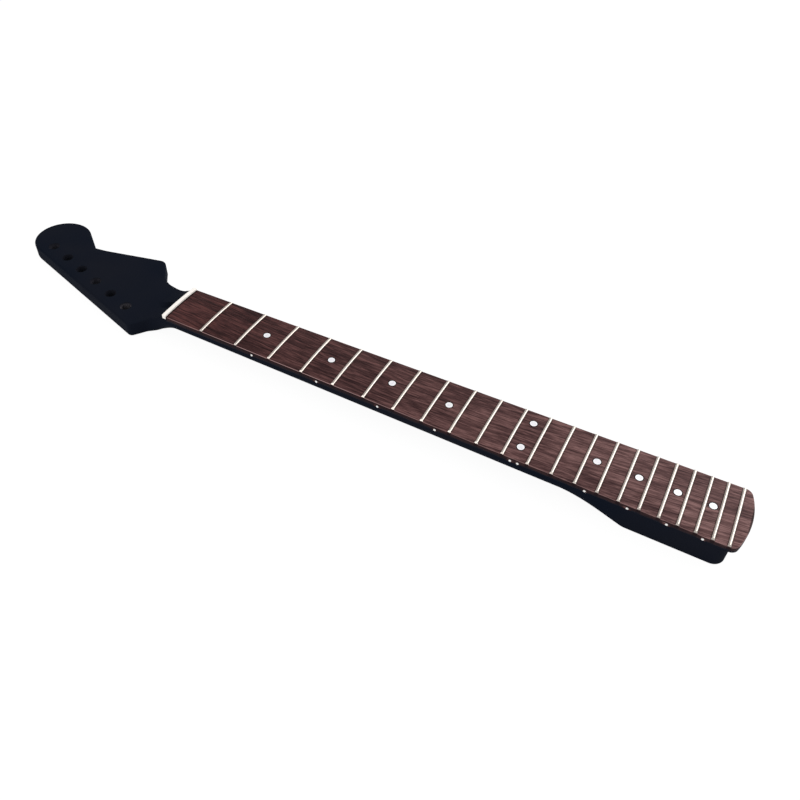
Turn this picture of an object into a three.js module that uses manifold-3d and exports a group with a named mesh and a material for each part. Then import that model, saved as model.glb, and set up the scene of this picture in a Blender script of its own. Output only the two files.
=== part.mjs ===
// Bolt-on electric guitar neck: a one-piece neck with its headstock, a radiused fingerboard glued on
// top, a nut, frets, position dots and a two-way truss rod in a channel under the fingerboard.
// Millimetres. The origin is the centre of the heel's flat back, midway between the neck screws.
// +X runs towards the body end, +Y towards the treble side, +Z out of the fingerboard.
// Most pieces are drawn from the nut: x is zero at the nut's front edge, z is zero on the flat back.

import * as THREE from "three";
import { mergeVertices } from "three/addons/utils/BufferGeometryUtils.js";
import Module from "manifold-3d";

const wasm = await Module();
wasm.setup();

// String length and frets
const scale_length = 648;
const fret_count = 22;
const frets_per_octave = 12;

// Plan of the shaft: straight sides that widen from the nut to the end of the heel
const nut_end_width = 43;
const heel_end_width = 56.3;
const heel_past_last_fret = 2.3;
const heel_corner_radius = 9;
const heel_flat_length = 77.5;
const heel_blend_length = 41;

// Thicknesses
const maple_thickness = 19;
const board_thickness = 6;
const headstock_thickness = 14;
const depth_at_first_fret = 20;
const depth_at_twelfth_fret = 22;
const back_land = 1;

// Back profile: a superellipse whose power changes along the neck
const nut_end_power = 1.8;
const twelfth_fret_power = 2;
const heel_power = 60;
const heel_hollow_power = 1.5;
const throat_power = 10;

// Screws that hold the heel to a body
const screw_pitch_along = 50.8;
const screw_pitch_across = 38.1;
const screws_to_heel_end = 15.9;
const pilot_diameter = 3;
const pilot_depth = 16;

// Fingerboard
const board_radius = 305;
const board_overhang = 8;
const board_end_crown_radius = 77;
const board_corner_radius = 6;
const board_edge_roll = 0.9;
const ledge_height = 4;
const ledge_length = 2.2;
const ramp_radius = 30;

// Nut
const nut_length = 3.4;
const nut_seat_height = 3;
const nut_front_rise = 1.9;
const nut_back_rise = 1.3;
const nut_edge_round = 0.6;

// Fret wire
const crown_width = 2.5;
const crown_height = 1.15;
const tang_width = 0.5;
const tang_depth = 1.8;
const tang_floor_gap = 0.2;
const slot_end_cover = 1;
const fret_bevel_angle = 35;

// Position dots
const dot_diameter = 6;
const dot_thickness = 1.6;
const twin_dot_pitch = 26.4;
const side_dot_diameter = 2;
const side_dot_length = 3;
const side_dot_drop = 4.2;
const side_twin_pitch = 5.8;

// Headstock outline: "behind" is measured towards the tip, "side" from the centre line
const bass_edge_angle = 17.4;
const bass_corner_behind_ramp = 4.18;
const bass_corner_side = 35.56;
const bass_corner_radius = 4.5;
const bass_throat_angle = 54;
const bass_throat_radius = 10;
const treble_flare_slope = 0.16;
const treble_throat_behind_ramp = 9.58;
const treble_throat_radius = 14;
const horn_behind_throat = 21.8;
const horn_above_brow = 2.6;
const horn_radius = 14;
const brow_behind_horn = 15.6;
const brow_above_waist = 11;
const brow_radius = 60;
const waist_ahead_of_tip = 49.3;
const waist_beside_tip = 4.2;
const waist_radius = 40;
const notch_slope = 0.135;
const notch_radius = 1.5;
const tip_radius = 25.5;
const tip_shoulder_angle = 52;
const headstock_round = 2;

// Throat, where the shaft runs into the headstock
const throat_blend_start = 8;
const throat_blend_end_before_ramp_foot = 3;

// Tuner holes, in one line beside the bass edge
const tuner_count = 6;
const tuner_hole_diameter = 10;
const tuner_pitch = 24.5;
const tuner_inset = 12.4;
const first_tuner_back = 49;
const last_tuner_to_tip = 28.9;

// Truss rod, its channel and the key trough behind the nut
const channel_end_to_heel_end = 32.5;
const rod_diameter = 5;
const rod_to_bar = 1;
const bar_thickness = 3;
const block_side_wall = 0.5;
const block_floor_wall = 0.2;
const block_length = 12;
const adjuster_diameter = 8.6;
const adjuster_length = 16;
const adjuster_setback = 0.5;
const socket_across_flats = 4;
const socket_depth = 8;
const rod_socket_depth = 5;
const trough_width = 9;
const trough_rise_angle = 15;
const trough_length = 32;

// Clearances and overruns
const seat_gap = 0.05;
const rod_gap = 0.1;
const running_gap = 0.3;
const cut_overrun = 2;
const join_overlap = 1;
const join_inset = 0.3;

// Facets
const back_facets = 26;
const board_facets = 8;
const roll_facets = 3;
const hole_facets = 24;
const dot_facets = 20;
const side_dot_facets = 12;
const pilot_facets = 12;
const rod_facets = 16;
const adjuster_facets = 24;
const crown_facets = 7;
const ramp_facets = 12;
const corner_facets = 5;
const arc_step_angle = 9;
const crown_step_angle = 4;
const shaft_stations = 7;
const blend_stations = 11;
const throat_stations = 17;
const edge_round_segments = 3;
const hex_sides = 6;

// Distance of a fret from the nut
function fret_place(number) {
  return scale_length * (1 - 2 ** (-number / frets_per_octave));
}

// Sizes that follow from the ones above
const radians = Math.PI / 180;
const heel_reach = fret_place(fret_count) + heel_past_last_fret;
const channel_end = heel_reach - channel_end_to_heel_end;
const heel_end_from_origin = screw_pitch_along / 2 + screws_to_heel_end;
const nut_from_origin = heel_end_from_origin - heel_reach;
const board_top = maple_thickness + board_thickness;
const nut_back = -nut_length;
const ledge_end = nut_back - ledge_length;
const ledge_top = maple_thickness + ledge_height;
const ramp_rise = ledge_top - headstock_thickness;
const ramp_run = Math.sqrt(ramp_radius ** 2 - (ramp_radius - ramp_rise) ** 2);
const ramp_foot = ledge_end - ramp_run;
const heel_flat_start = heel_reach - heel_flat_length;
const heel_blend_start = heel_flat_start - heel_blend_length;
const slot_width = tang_width + 2 * seat_gap;
const slot_depth = tang_depth + tang_floor_gap;
const block_width = rod_diameter + 2 * block_side_wall;
const block_high = maple_thickness - running_gap;
const rod_axis_height = block_high - bar_thickness - rod_to_bar - rod_diameter / 2;
const block_low = rod_axis_height - rod_diameter / 2 - block_floor_wall;
const channel_width = block_width + 2 * rod_gap;
const throat_blend_end = ramp_foot + throat_blend_end_before_ramp_foot;

function between_frets(number) {
  return (fret_place(number - 1) + fret_place(number)) / 2;
}

function taper_half_width(x) {
  return (nut_end_width + ((heel_end_width - nut_end_width) * x) / heel_reach) / 2;
}

function held_share(share) {
  return Math.min(Math.max(share, 0), 1);
}

function smooth(share) {
  const held = held_share(share);
  return held * held * (3 - 2 * held);
}

function blend(from, to, share) {
  return from + (to - from) * share;
}

// Solids: a closed geometry as a manifold, and back

function to_solid(geometry) {
  const plain = geometry.clone();
  plain.deleteAttribute("normal");
  plain.deleteAttribute("uv");
  const merged = mergeVertices(plain);
  const mesh = new wasm.Mesh({
    numProp: 3,
    vertProperties: new Float32Array(merged.attributes.position.array),
    triVerts: new Uint32Array(merged.index.array),
  });
  mesh.merge();
  return new wasm.Manifold(mesh);
}

function to_geometry(solid) {
  const mesh = solid.getMesh();
  const geometry = new THREE.BufferGeometry();
  geometry.setAttribute("position", new THREE.BufferAttribute(mesh.vertProperties, 3));
  geometry.setIndex(new THREE.BufferAttribute(mesh.triVerts, 1));
  geometry.computeVertexNormals();
  return geometry;
}

function cut_all(body, cutters) {
  return cutters.reduce((rest, cutter) => rest.subtract(to_solid(cutter)), body);
}

// A skin over rings of points with as many points each, closed at both ends by flat faces
function loft(rings) {
  const around = rings[0].length;
  const positions = rings.flat().flatMap((point) => [point.x, point.y, point.z]);
  const triangles = [];
  for (let ring = 0; ring + 1 < rings.length; ring += 1) {
    for (let step = 0; step < around; step += 1) {
      const here = ring * around + step;
      const next = ring * around + ((step + 1) % around);
      triangles.push(here, next, next + around, here, next + around, here + around);
    }
  }
  const last = (rings.length - 1) * around;
  for (let step = 1; step + 1 < around; step += 1) {
    triangles.push(0, step + 1, step, last, last + step, last + step + 1);
  }
  const geometry = new THREE.BufferGeometry();
  geometry.setAttribute("position", new THREE.Float32BufferAttribute(positions, 3));
  geometry.setIndex(triangles);
  return geometry;
}

// A straight extrusion of an outline drawn in x and z, centred across the neck
function extrude_across(outline, width) {
  const geometry = new THREE.ExtrudeGeometry(outline, { depth: width, bevelEnabled: false });
  geometry.rotateX(90 * radians);
  geometry.translate(0, width / 2, 0);
  return geometry;
}

function extrude_up(outline, low, high) {
  const geometry = new THREE.ExtrudeGeometry(outline, { depth: high - low, bevelEnabled: false });
  geometry.translate(0, 0, low);
  return geometry;
}

function box_between(low, high) {
  const geometry = new THREE.BoxGeometry(high[0] - low[0], high[1] - low[1], high[2] - low[2]);
  geometry.translate((low[0] + high[0]) / 2, (low[1] + high[1]) / 2, (low[2] + high[2]) / 2);
  return geometry;
}

function upright_cylinder(diameter, low, high, facets, x, y) {
  const geometry = new THREE.CylinderGeometry(diameter / 2, diameter / 2, high - low, facets);
  geometry.rotateX(90 * radians);
  geometry.translate(x, y, (low + high) / 2);
  return geometry;
}

function lengthwise_cylinder(diameter, start, end, facets) {
  const geometry = new THREE.CylinderGeometry(diameter / 2, diameter / 2, end - start, facets);
  geometry.rotateZ(-90 * radians);
  geometry.translate((start + end) / 2, 0, rod_axis_height);
  return geometry;
}

function arc_points(centre, radius, from, to, step_angle = arc_step_angle) {
  const steps = Math.max(1, Math.ceil(Math.abs(to - from) / step_angle));
  const points = [];
  for (let step = 0; step <= steps; step += 1) {
    const angle = blend(from, to, step / steps) * radians;
    points.push(new THREE.Vector2(
      centre.x + radius * Math.cos(angle),
      centre.y + radius * Math.sin(angle),
    ));
  }
  return points;
}

// The arc that rounds a corner between two straight edges
function rounded_corner(before, corner, after, radius) {
  const back = before.clone().sub(corner).normalize();
  const ahead = after.clone().sub(corner).normalize();
  const half_angle = Math.acos(back.dot(ahead)) / 2;
  const reach = radius / Math.tan(half_angle);
  const centre = back.clone().add(ahead).normalize()
    .multiplyScalar(radius / Math.sin(half_angle)).add(corner);
  const first = back.multiplyScalar(reach).add(corner).sub(centre);
  const final = ahead.multiplyScalar(reach).add(corner).sub(centre);
  const from = first.angle() / radians;
  const turn = Math.atan2(first.cross(final), first.dot(final)) / radians;
  return arc_points(centre, radius, from, from + turn);
}

// Half widths of the blank, which flare from the nut into the headstock

const bass_throat_run = bass_throat_radius * Math.sin(bass_throat_angle * radians);
const bass_throat_slope = Math.tan(bass_throat_angle * radians);
const bass_direction = new THREE.Vector2(
  Math.cos(bass_edge_angle * radians),
  -Math.sin(bass_edge_angle * radians),
);
const bass_corner = new THREE.Vector2(ramp_foot - bass_corner_behind_ramp, -bass_corner_side);

function bass_edge_side(x) {
  return bass_corner.y + ((x - bass_corner.x) * bass_direction.y) / bass_direction.x;
}

// The headstock is as long as its row of tuners needs, and its round tip touches the bass edge
const tuner_row = tuner_pitch * (tuner_count - 1) * bass_direction.x;
const headstock_length = first_tuner_back + tuner_row + last_tuner_to_tip;
const tip_centre_x = tip_radius - headstock_length;
const tip_centre = new THREE.Vector2(
  tip_centre_x,
  bass_edge_side(tip_centre_x) + tip_radius / bass_direction.x,
);
const bass_edge_start = new THREE.Vector2(
  tip_centre.x + tip_radius * bass_direction.y,
  tip_centre.y - tip_radius * bass_direction.x,
);

// The throat's fillet starts where its arc, followed by a straight edge, ends in the bass corner
const throat_arc_rise = bass_throat_radius * (1 - Math.cos(bass_throat_angle * radians));
const throat_edge_rise = bass_corner_side - taper_half_width(nut_back) - throat_arc_rise;
const bass_throat_start = bass_corner.x + throat_edge_rise / bass_throat_slope + bass_throat_run;

function bass_half_width(x) {
  const into = Math.max(bass_throat_start - x, 0);
  const along_arc = Math.min(into, bass_throat_run);
  const arc_rise = bass_throat_radius - Math.sqrt(bass_throat_radius ** 2 - along_arc ** 2);
  const edge_rise = (into - along_arc) * bass_throat_slope;
  return taper_half_width(Math.max(x, nut_back)) + arc_rise + edge_rise;
}

function treble_half_width(x) {
  const into = Math.max(nut_back - x, 0);
  return taper_half_width(Math.max(x, nut_back)) + into * treble_flare_slope;
}

// Depth and back profile along the neck

function shaft_depth(x) {
  const share = (x - fret_place(1)) / (fret_place(frets_per_octave) - fret_place(1));
  return blend(depth_at_first_fret, depth_at_twelfth_fret, share);
}

function shaft_power(x) {
  const share = (x - fret_place(1)) / (fret_place(frets_per_octave) - fret_place(1));
  return blend(nut_end_power, twelfth_fret_power, held_share(share));
}

function back_profile(x) {
  const to_heel = held_share((x - heel_blend_start) / heel_blend_length) ** heel_hollow_power;
  const to_throat = smooth((throat_blend_start - x) / (throat_blend_start - throat_blend_end));
  const exponent = blend(
    blend(2 / shaft_power(x), 2 / heel_power, to_heel),
    2 / throat_power,
    to_throat,
  );
  const back = (board_top - shaft_depth(x)) * (1 - to_heel) * (1 - to_throat);
  return { exponent, back };
}

function heel_corner_inset(x) {
  const into = Math.max(x - (heel_reach - heel_corner_radius), 0);
  return heel_corner_radius - Math.sqrt(Math.max(heel_corner_radius ** 2 - into ** 2, 0));
}

function back_ring(x) {
  const { exponent, back } = back_profile(x);
  const bass = bass_half_width(x) - heel_corner_inset(x);
  const treble = treble_half_width(x) - heel_corner_inset(x);
  const land = maple_thickness - back_land;
  const points = [new THREE.Vector3(x, -bass, maple_thickness)];
  for (let step = 0; step <= back_facets; step += 1) {
    const angle = (180 * radians * step) / back_facets;
    const across = Math.abs(Math.cos(angle)) ** exponent;
    const down = Math.abs(Math.sin(angle)) ** exponent;
    const side = 2 * step < back_facets ? -bass : treble;
    points.push(new THREE.Vector3(x, side * across, blend(land, back, down)));
  }
  points.push(new THREE.Vector3(x, treble, maple_thickness));
  return points;
}

function evenly(from, to, count) {
  return Array.from({ length: count }, (_, step) => blend(from, to, step / (count - 1)));
}

function shaft_geometry() {
  const corner_start = heel_reach - heel_corner_radius;
  const corner = Array.from({ length: corner_facets }, (_, step) => {
    const angle = (90 * radians * (step + 1)) / corner_facets;
    return corner_start + heel_corner_radius * Math.sin(angle);
  });
  const places = [
    ...evenly(ramp_foot, throat_blend_start, throat_stations),
    ...evenly(throat_blend_start, heel_blend_start, shaft_stations).slice(1),
    ...evenly(heel_blend_start, heel_flat_start, blend_stations).slice(1),
    corner_start,
    ...corner,
  ];
  return loft(places.map(back_ring));
}

// Headstock

function headstock_outline() {
  const start = ramp_foot + headstock_round + join_overlap;
  const shoulder = tip_shoulder_angle * radians;
  const shoulder_slope = -1 / Math.tan(shoulder);
  const tip_tangent = new THREE.Vector2(
    tip_centre.x + tip_radius * Math.cos(shoulder),
    tip_centre.y + tip_radius * Math.sin(shoulder),
  );
  const waist = new THREE.Vector2(
    tip_centre.x + waist_ahead_of_tip,
    tip_centre.y + waist_beside_tip,
  );
  const notch_x = (tip_tangent.y - shoulder_slope * tip_tangent.x - waist.y
    + notch_slope * waist.x) / (notch_slope - shoulder_slope);
  const notch = new THREE.Vector2(notch_x, waist.y + notch_slope * (notch_x - waist.x));
  const throat_x = ramp_foot - treble_throat_behind_ramp;
  const throat = new THREE.Vector2(throat_x, treble_half_width(throat_x));
  const horn_x = throat_x - horn_behind_throat;
  const brow = new THREE.Vector2(horn_x - brow_behind_horn, waist.y + brow_above_waist);
  const horn = new THREE.Vector2(horn_x, brow.y + horn_above_brow);
  const treble_start = new THREE.Vector2(start, treble_half_width(start) - join_inset);
  const bass_start = new THREE.Vector2(start, join_inset - bass_half_width(start));
  const throat_before = new THREE.Vector2(ramp_foot, treble_half_width(ramp_foot));
  const points = [
    treble_start,
    throat_before,
    ...rounded_corner(throat_before, throat, horn, treble_throat_radius),
    ...rounded_corner(throat, horn, brow, horn_radius),
    ...rounded_corner(horn, brow, waist, brow_radius),
    ...rounded_corner(brow, waist, notch, waist_radius),
    ...rounded_corner(waist, notch, tip_tangent, notch_radius),
    ...arc_points(tip_centre, tip_radius, tip_shoulder_angle, 270 - bass_edge_angle),
    ...rounded_corner(bass_edge_start, bass_corner, bass_start, bass_corner_radius),
    bass_start,
  ];
  return new THREE.Shape(points);
}

function headstock_geometry() {
  const geometry = new THREE.ExtrudeGeometry(headstock_outline(), {
    depth: headstock_thickness - 2 * headstock_round,
    bevelEnabled: true,
    bevelThickness: headstock_round,
    bevelSize: headstock_round,
    bevelOffset: -headstock_round,
    bevelSegments: edge_round_segments,
  });
  geometry.translate(0, 0, headstock_round);
  return geometry;
}

// Tuner holes stand in a line beside the bass edge, the first one nearest the nut
function tuner_place(number) {
  const inset = tuner_inset / bass_direction.x;
  const first = new THREE.Vector2(-first_tuner_back, bass_edge_side(-first_tuner_back) + inset);
  return first.addScaledVector(bass_direction, -tuner_pitch * number);
}

function tuner_cutters() {
  return Array.from({ length: tuner_count }, (_, number) => {
    const place = tuner_place(number);
    const high = headstock_thickness + cut_overrun;
    return upright_cylinder(tuner_hole_diameter, -cut_overrun, high, hole_facets, place.x, place.y);
  });
}

// The concave ramp behind the nut: one cut shapes the board's tail and the neck under it
function ramp_cutter() {
  const high = board_top + cut_overrun;
  const sweep = Math.acos((ramp_radius - ramp_rise) / ramp_radius) / radians;
  const rise_points = Array.from({ length: ramp_facets + 1 }, (_, step) => {
    const angle = (sweep * (ramp_facets - step) * radians) / ramp_facets;
    return new THREE.Vector2(
      ramp_foot + ramp_radius * Math.sin(angle),
      headstock_thickness + ramp_radius * (1 - Math.cos(angle)),
    );
  });
  const outline = new THREE.Shape([
    new THREE.Vector2(nut_back, high),
    new THREE.Vector2(nut_back, ledge_top),
    ...rise_points,
    new THREE.Vector2(ramp_foot - cut_overrun, headstock_thickness),
    new THREE.Vector2(ramp_foot - cut_overrun, high),
  ]);
  return extrude_across(outline, 2 * heel_end_width);
}

// Truss-rod channel: a slot from the glue line, a wider pocket for the adjusting nut at its front
const adjuster_start = nut_back + adjuster_setback;
const adjuster_end = adjuster_start + adjuster_length;
const pocket_width = adjuster_diameter + 2 * running_gap;
const pocket_end = adjuster_end + running_gap;

function channel_cutters() {
  const floor = block_low - rod_gap;
  const high = maple_thickness + cut_overrun;
  const slot = box_between(
    [adjuster_end, -channel_width / 2, floor],
    [channel_end, channel_width / 2, high],
  );
  const pocket = lengthwise_cylinder(pocket_width, nut_back, pocket_end, adjuster_facets);
  const pocket_top = box_between(
    [nut_back, -pocket_width / 2, rod_axis_height],
    [pocket_end, pocket_width / 2, high],
  );
  return [slot, pocket, pocket_top];
}

// The key trough slopes up out of the pocket and runs out on the headstock's face
function trough_cutter() {
  const radius = trough_width / 2;
  const geometry = new THREE.CapsuleGeometry(radius, trough_length, corner_facets, adjuster_facets);
  geometry.rotateZ(90 * radians);
  geometry.translate(-trough_length / 2, 0, 0);
  geometry.rotateY(trough_rise_angle * radians);
  geometry.translate(nut_back, 0, rod_axis_height);
  return geometry;
}

function pilot_cutters() {
  const origin_x = heel_reach - screws_to_heel_end - screw_pitch_along / 2;
  return [-1, 1].flatMap((along) => [-1, 1].map((across) => upright_cylinder(
    pilot_diameter,
    -cut_overrun,
    pilot_depth,
    pilot_facets,
    origin_x + (along * screw_pitch_along) / 2,
    (across * screw_pitch_across) / 2,
  )));
}

function neck_geometry() {
  const blank = to_solid(shaft_geometry()).add(to_solid(headstock_geometry()));
  return to_geometry(cut_all(blank, [
    ramp_cutter(),
    trough_cutter(),
    ...channel_cutters(),
    ...tuner_cutters(),
    ...pilot_cutters(),
  ]));
}

// Fingerboard

// How far the board's crowned top lies below its centre line at a distance across
function crown_drop(across) {
  return board_radius - Math.sqrt(board_radius ** 2 - across ** 2);
}

function board_ring(x) {
  const bass = -bass_half_width(x);
  const treble = treble_half_width(x);
  const roll = (side, step) => {
    const angle = (90 * radians * step) / roll_facets;
    const edge = Math.sign(side) * (Math.abs(side) - board_edge_roll * (1 - Math.cos(angle)));
    const shoulder = board_top - crown_drop(Math.abs(side) - board_edge_roll) - board_edge_roll;
    return new THREE.Vector3(x, edge, shoulder + board_edge_roll * Math.sin(angle));
  };
  const steps = Array.from({ length: roll_facets + 1 }, (_, step) => step);
  const crown = evenly(bass + board_edge_roll, treble - board_edge_roll, board_facets + 1)
    .slice(1, -1)
    .map((across) => new THREE.Vector3(x, across, board_top - crown_drop(across)));
  return [
    new THREE.Vector3(x, bass, maple_thickness),
    new THREE.Vector3(x, treble, maple_thickness),
    ...steps.map((step) => roll(treble, step)),
    ...crown.reverse(),
    ...steps.reverse().map((step) => roll(bass, step)),
  ];
}

// Cuts the board's end, past the heel, to a crowned arc with rounded corners
function board_end_cutter() {
  const end = heel_reach + board_overhang;
  const wide = heel_end_width;
  const half_width = taper_half_width(end);
  const centre = new THREE.Vector2(end - board_end_crown_radius, 0);
  const crown_angle = Math.asin(half_width / board_end_crown_radius) / radians;
  const crown = arc_points(centre, board_end_crown_radius, -crown_angle, crown_angle, crown_step_angle);
  const before = new THREE.Vector2(heel_flat_start, -taper_half_width(heel_flat_start));
  const ahead_angle = board_corner_radius / board_end_crown_radius - crown_angle * radians;
  const ahead = new THREE.Vector2(
    centre.x + board_end_crown_radius * Math.cos(ahead_angle),
    board_end_crown_radius * Math.sin(ahead_angle),
  );
  const bass_arc = rounded_corner(before, crown[0], ahead, board_corner_radius);
  const treble_arc = bass_arc.map((point) => new THREE.Vector2(point.x, -point.y)).reverse();
  const reach = Math.abs(treble_arc[0].y);
  const outline = new THREE.Shape([
    new THREE.Vector2(bass_arc[0].x, -wide),
    new THREE.Vector2(end + cut_overrun, -wide),
    new THREE.Vector2(end + cut_overrun, wide),
    new THREE.Vector2(bass_arc[0].x, wide),
    ...treble_arc.reverse(),
    ...crown.filter((point) => Math.abs(point.y) < reach - join_inset).reverse(),
    ...bass_arc.reverse(),
  ]);
  return extrude_up(outline, maple_thickness - cut_overrun, board_top + cut_overrun);
}

function nut_slot_cutter() {
  return box_between(
    [nut_back, -heel_end_width, board_top - nut_seat_height],
    [0, heel_end_width, board_top + cut_overrun],
  );
}

// A bar bent to the board's crown: its section is drawn along the neck and up from the board's top
function crowned_bar(section, x, places) {
  const rings = places.map((place) => section.map(([along, up]) => {
    const across = place(up);
    return new THREE.Vector3(x + along, across, board_top - crown_drop(across) + up);
  }));
  return loft(rings);
}

function crown_places(reach, count) {
  return evenly(-reach, reach, count + 1).map((across) => () => across);
}

function bar_section(width, depth, height) {
  const half = width / 2;
  return [[-half, -depth], [-half, height], [half, height], [half, -depth]];
}

function fret_slot_cutter(number) {
  const section = bar_section(slot_width, slot_depth, cut_overrun);
  const reach = taper_half_width(fret_place(number)) - slot_end_cover;
  return crowned_bar(section, fret_place(number), crown_places(reach, board_facets));
}

// Frets that carry a position dot, and the octave, which carries two
const dotted_frets = [3, 5, 7, 9, 12, 15, 17, 19, 21];

function two_digits(number) {
  return String(number).padStart(2, "0");
}

// A dot at each dotted fret; at the octave two, apart by the given step along and across
function marks(along_pitch, across_pitch, first, second) {
  return dotted_frets.flatMap((fret) => {
    const x = between_frets(fret);
    const name = two_digits(fret);
    if (fret !== frets_per_octave) {
      return [{ name, x, y: 0 }];
    }
    return [
      { name: `${name}_${first}`, x: x - along_pitch / 2, y: -across_pitch / 2 },
      { name: `${name}_${second}`, x: x + along_pitch / 2, y: across_pitch / 2 },
    ];
  });
}

const face_marks = marks(0, twin_dot_pitch, "bass", "treble");
const side_marks = marks(side_twin_pitch, 0, "front", "rear");

function dot_blank(mark, diameter, low) {
  return upright_cylinder(diameter, low, board_top + cut_overrun, dot_facets, mark.x, mark.y);
}

function side_dot_blank(mark, diameter, inner_end, outer_end) {
  const geometry = new THREE.CylinderGeometry(
    diameter / 2,
    diameter / 2,
    outer_end - inner_end,
    side_dot_facets,
  );
  geometry.translate(mark.x, -(inner_end + outer_end) / 2, board_top - side_dot_drop);
  return geometry;
}

function board_blank() {
  const places = [ramp_foot, nut_back, 0, heel_reach + board_overhang + cut_overrun];
  return to_solid(loft(places.map(board_ring)));
}

function fingerboard_geometry() {
  const frets = Array.from({ length: fret_count }, (_, index) => fret_slot_cutter(index + 1));
  const dots = face_marks.map((mark) => {
    const floor = board_top - crown_drop(mark.y) - dot_thickness - seat_gap;
    return dot_blank(mark, dot_diameter + 2 * seat_gap, floor);
  });
  const side_dots = side_marks.map((mark) => {
    const side = taper_half_width(mark.x);
    const diameter = side_dot_diameter + 2 * seat_gap;
    return side_dot_blank(mark, diameter, side - side_dot_length - seat_gap, side + cut_overrun);
  });
  return to_geometry(cut_all(board_blank(), [
    ramp_cutter(),
    board_end_cutter(),
    nut_slot_cutter(),
    ...frets,
    ...dots,
    ...side_dots,
  ]));
}

// Face dots are levelled with the board's crown, side dots with its tapered side
function dot_geometry(mark) {
  const floor = board_top - crown_drop(mark.y) - dot_thickness;
  return to_geometry(to_solid(dot_blank(mark, dot_diameter, floor)).intersect(board_blank()));
}

function side_dot_geometry(mark) {
  const side = taper_half_width(mark.x);
  const blank = side_dot_blank(mark, side_dot_diameter, side - side_dot_length, side + cut_overrun);
  return to_geometry(to_solid(blank).intersect(board_blank()));
}

// Fret wire: a half-round crown with bevelled ends, on a narrow tang that stops short of the edges
function fret_geometry(number) {
  const x = fret_place(number);
  const half_crown = crown_width / 2;
  const crown_section = Array.from({ length: crown_facets + 1 }, (_, step) => {
    const angle = (180 * radians * step) / crown_facets;
    return [-half_crown * Math.cos(angle), seat_gap + crown_height * Math.sin(angle)];
  });
  const reach = taper_half_width(x) - board_edge_roll / 2;
  const lean = Math.tan(fret_bevel_angle * radians);
  const crown_inner = evenly(-1, 1, board_facets + 1).slice(1, -1)
    .map((share) => () => share * reach);
  const crown = to_solid(crowned_bar(crown_section, x, [
    (up) => up * lean - reach,
    ...crown_inner,
    (up) => reach - up * lean,
  ]));
  const tang_reach = taper_half_width(x) - slot_end_cover - seat_gap;
  const tang_section = bar_section(tang_width, tang_depth, crown_height / 2);
  const tang = to_solid(crowned_bar(tang_section, x, crown_places(tang_reach, board_facets)));
  return to_geometry(crown.add(tang));
}

// Nut: a flat-bottomed bar whose top slopes back towards the headstock and follows the crown
function nut_geometry() {
  const front = -seat_gap;
  const back = nut_back + seat_gap;
  const round = nut_edge_round;
  const section = [
    { x: front, up: 0 },
    { x: back, up: 0 },
    { x: back, up: nut_back_rise - round },
    { x: back + round, up: nut_back_rise },
    { x: front - round, up: nut_front_rise },
    { x: front, up: nut_front_rise - round },
  ];
  const seat = board_top - nut_seat_height + seat_gap;
  const half_width = taper_half_width(nut_back / 2);
  const ring = (across, drop) => section.map((point) => new THREE.Vector3(
    point.x,
    across,
    point.up > 0 ? board_top + point.up - crown_drop(across) - drop : seat,
  ));
  const inner = evenly(round - half_width, half_width - round, board_facets + 1);
  return loft([
    ring(-half_width, round),
    ...inner.map((across) => ring(across, 0)),
    ring(half_width, round),
  ]);
}

// Two-way truss rod: the adjusting nut and the screw turn, the bar and the two blocks stay put
const front_block_start = adjuster_end + running_gap;
const front_block_end = front_block_start + block_length;
const rear_block_end = channel_end - running_gap;
const rear_block_start = rear_block_end - block_length;

function adjuster_geometry() {
  const barrel = to_solid(lengthwise_cylinder(
    adjuster_diameter,
    adjuster_start,
    adjuster_end,
    adjuster_facets,
  ));
  const hex_diameter = socket_across_flats / Math.cos((180 * radians) / hex_sides);
  const socket = lengthwise_cylinder(
    hex_diameter,
    adjuster_start - cut_overrun,
    adjuster_start + socket_depth,
    hex_sides,
  );
  const rod_socket = lengthwise_cylinder(
    rod_diameter + 2 * seat_gap,
    adjuster_end - rod_socket_depth,
    adjuster_end + cut_overrun,
    rod_facets,
  );
  return to_geometry(cut_all(barrel, [socket, rod_socket]));
}

function rod_geometry() {
  const start = adjuster_end - rod_socket_depth + seat_gap;
  return lengthwise_cylinder(rod_diameter, start, rear_block_end - seat_gap, rod_facets);
}

function bar_geometry() {
  return box_between(
    [front_block_end + seat_gap, -block_width / 2, block_high - bar_thickness],
    [rear_block_start - seat_gap, block_width / 2, block_high],
  );
}

function block_geometry(start, end) {
  const block = to_solid(box_between(
    [start, -block_width / 2, block_low],
    [end, block_width / 2, block_high],
  ));
  const bore = lengthwise_cylinder(
    rod_diameter + 2 * seat_gap,
    start - cut_overrun,
    end + cut_overrun,
    rod_facets,
  );
  return to_geometry(cut_all(block, [bore]));
}

// Finishes
const black_lacquer = { color: 0x17191f, roughness: 0.28, metalness: 0 };
const rosewood = { color: 0x4d3030, roughness: 0.62, metalness: 0 };
const bone = { color: 0xf6efe6, roughness: 0.4, metalness: 0 };
const nickel_silver = { color: 0xc9c7c0, roughness: 0.25, metalness: 1 };
const pearl = { color: 0xeeedf2, roughness: 0.25, metalness: 0 };
const white_plastic = { color: 0xf4f4f2, roughness: 0.4, metalness: 0 };
const steel = { color: 0x8c8e92, roughness: 0.4, metalness: 1 };
const brass = { color: 0xb08d4a, roughness: 0.4, metalness: 1 };

const neck_from_nut = new THREE.Group();
neck_from_nut.position.set(nut_from_origin, 0, 0);

function add(name, geometry, finish) {
  const mesh = new THREE.Mesh(geometry, new THREE.MeshStandardMaterial(finish));
  mesh.name = name;
  neck_from_nut.add(mesh);
}

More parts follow.
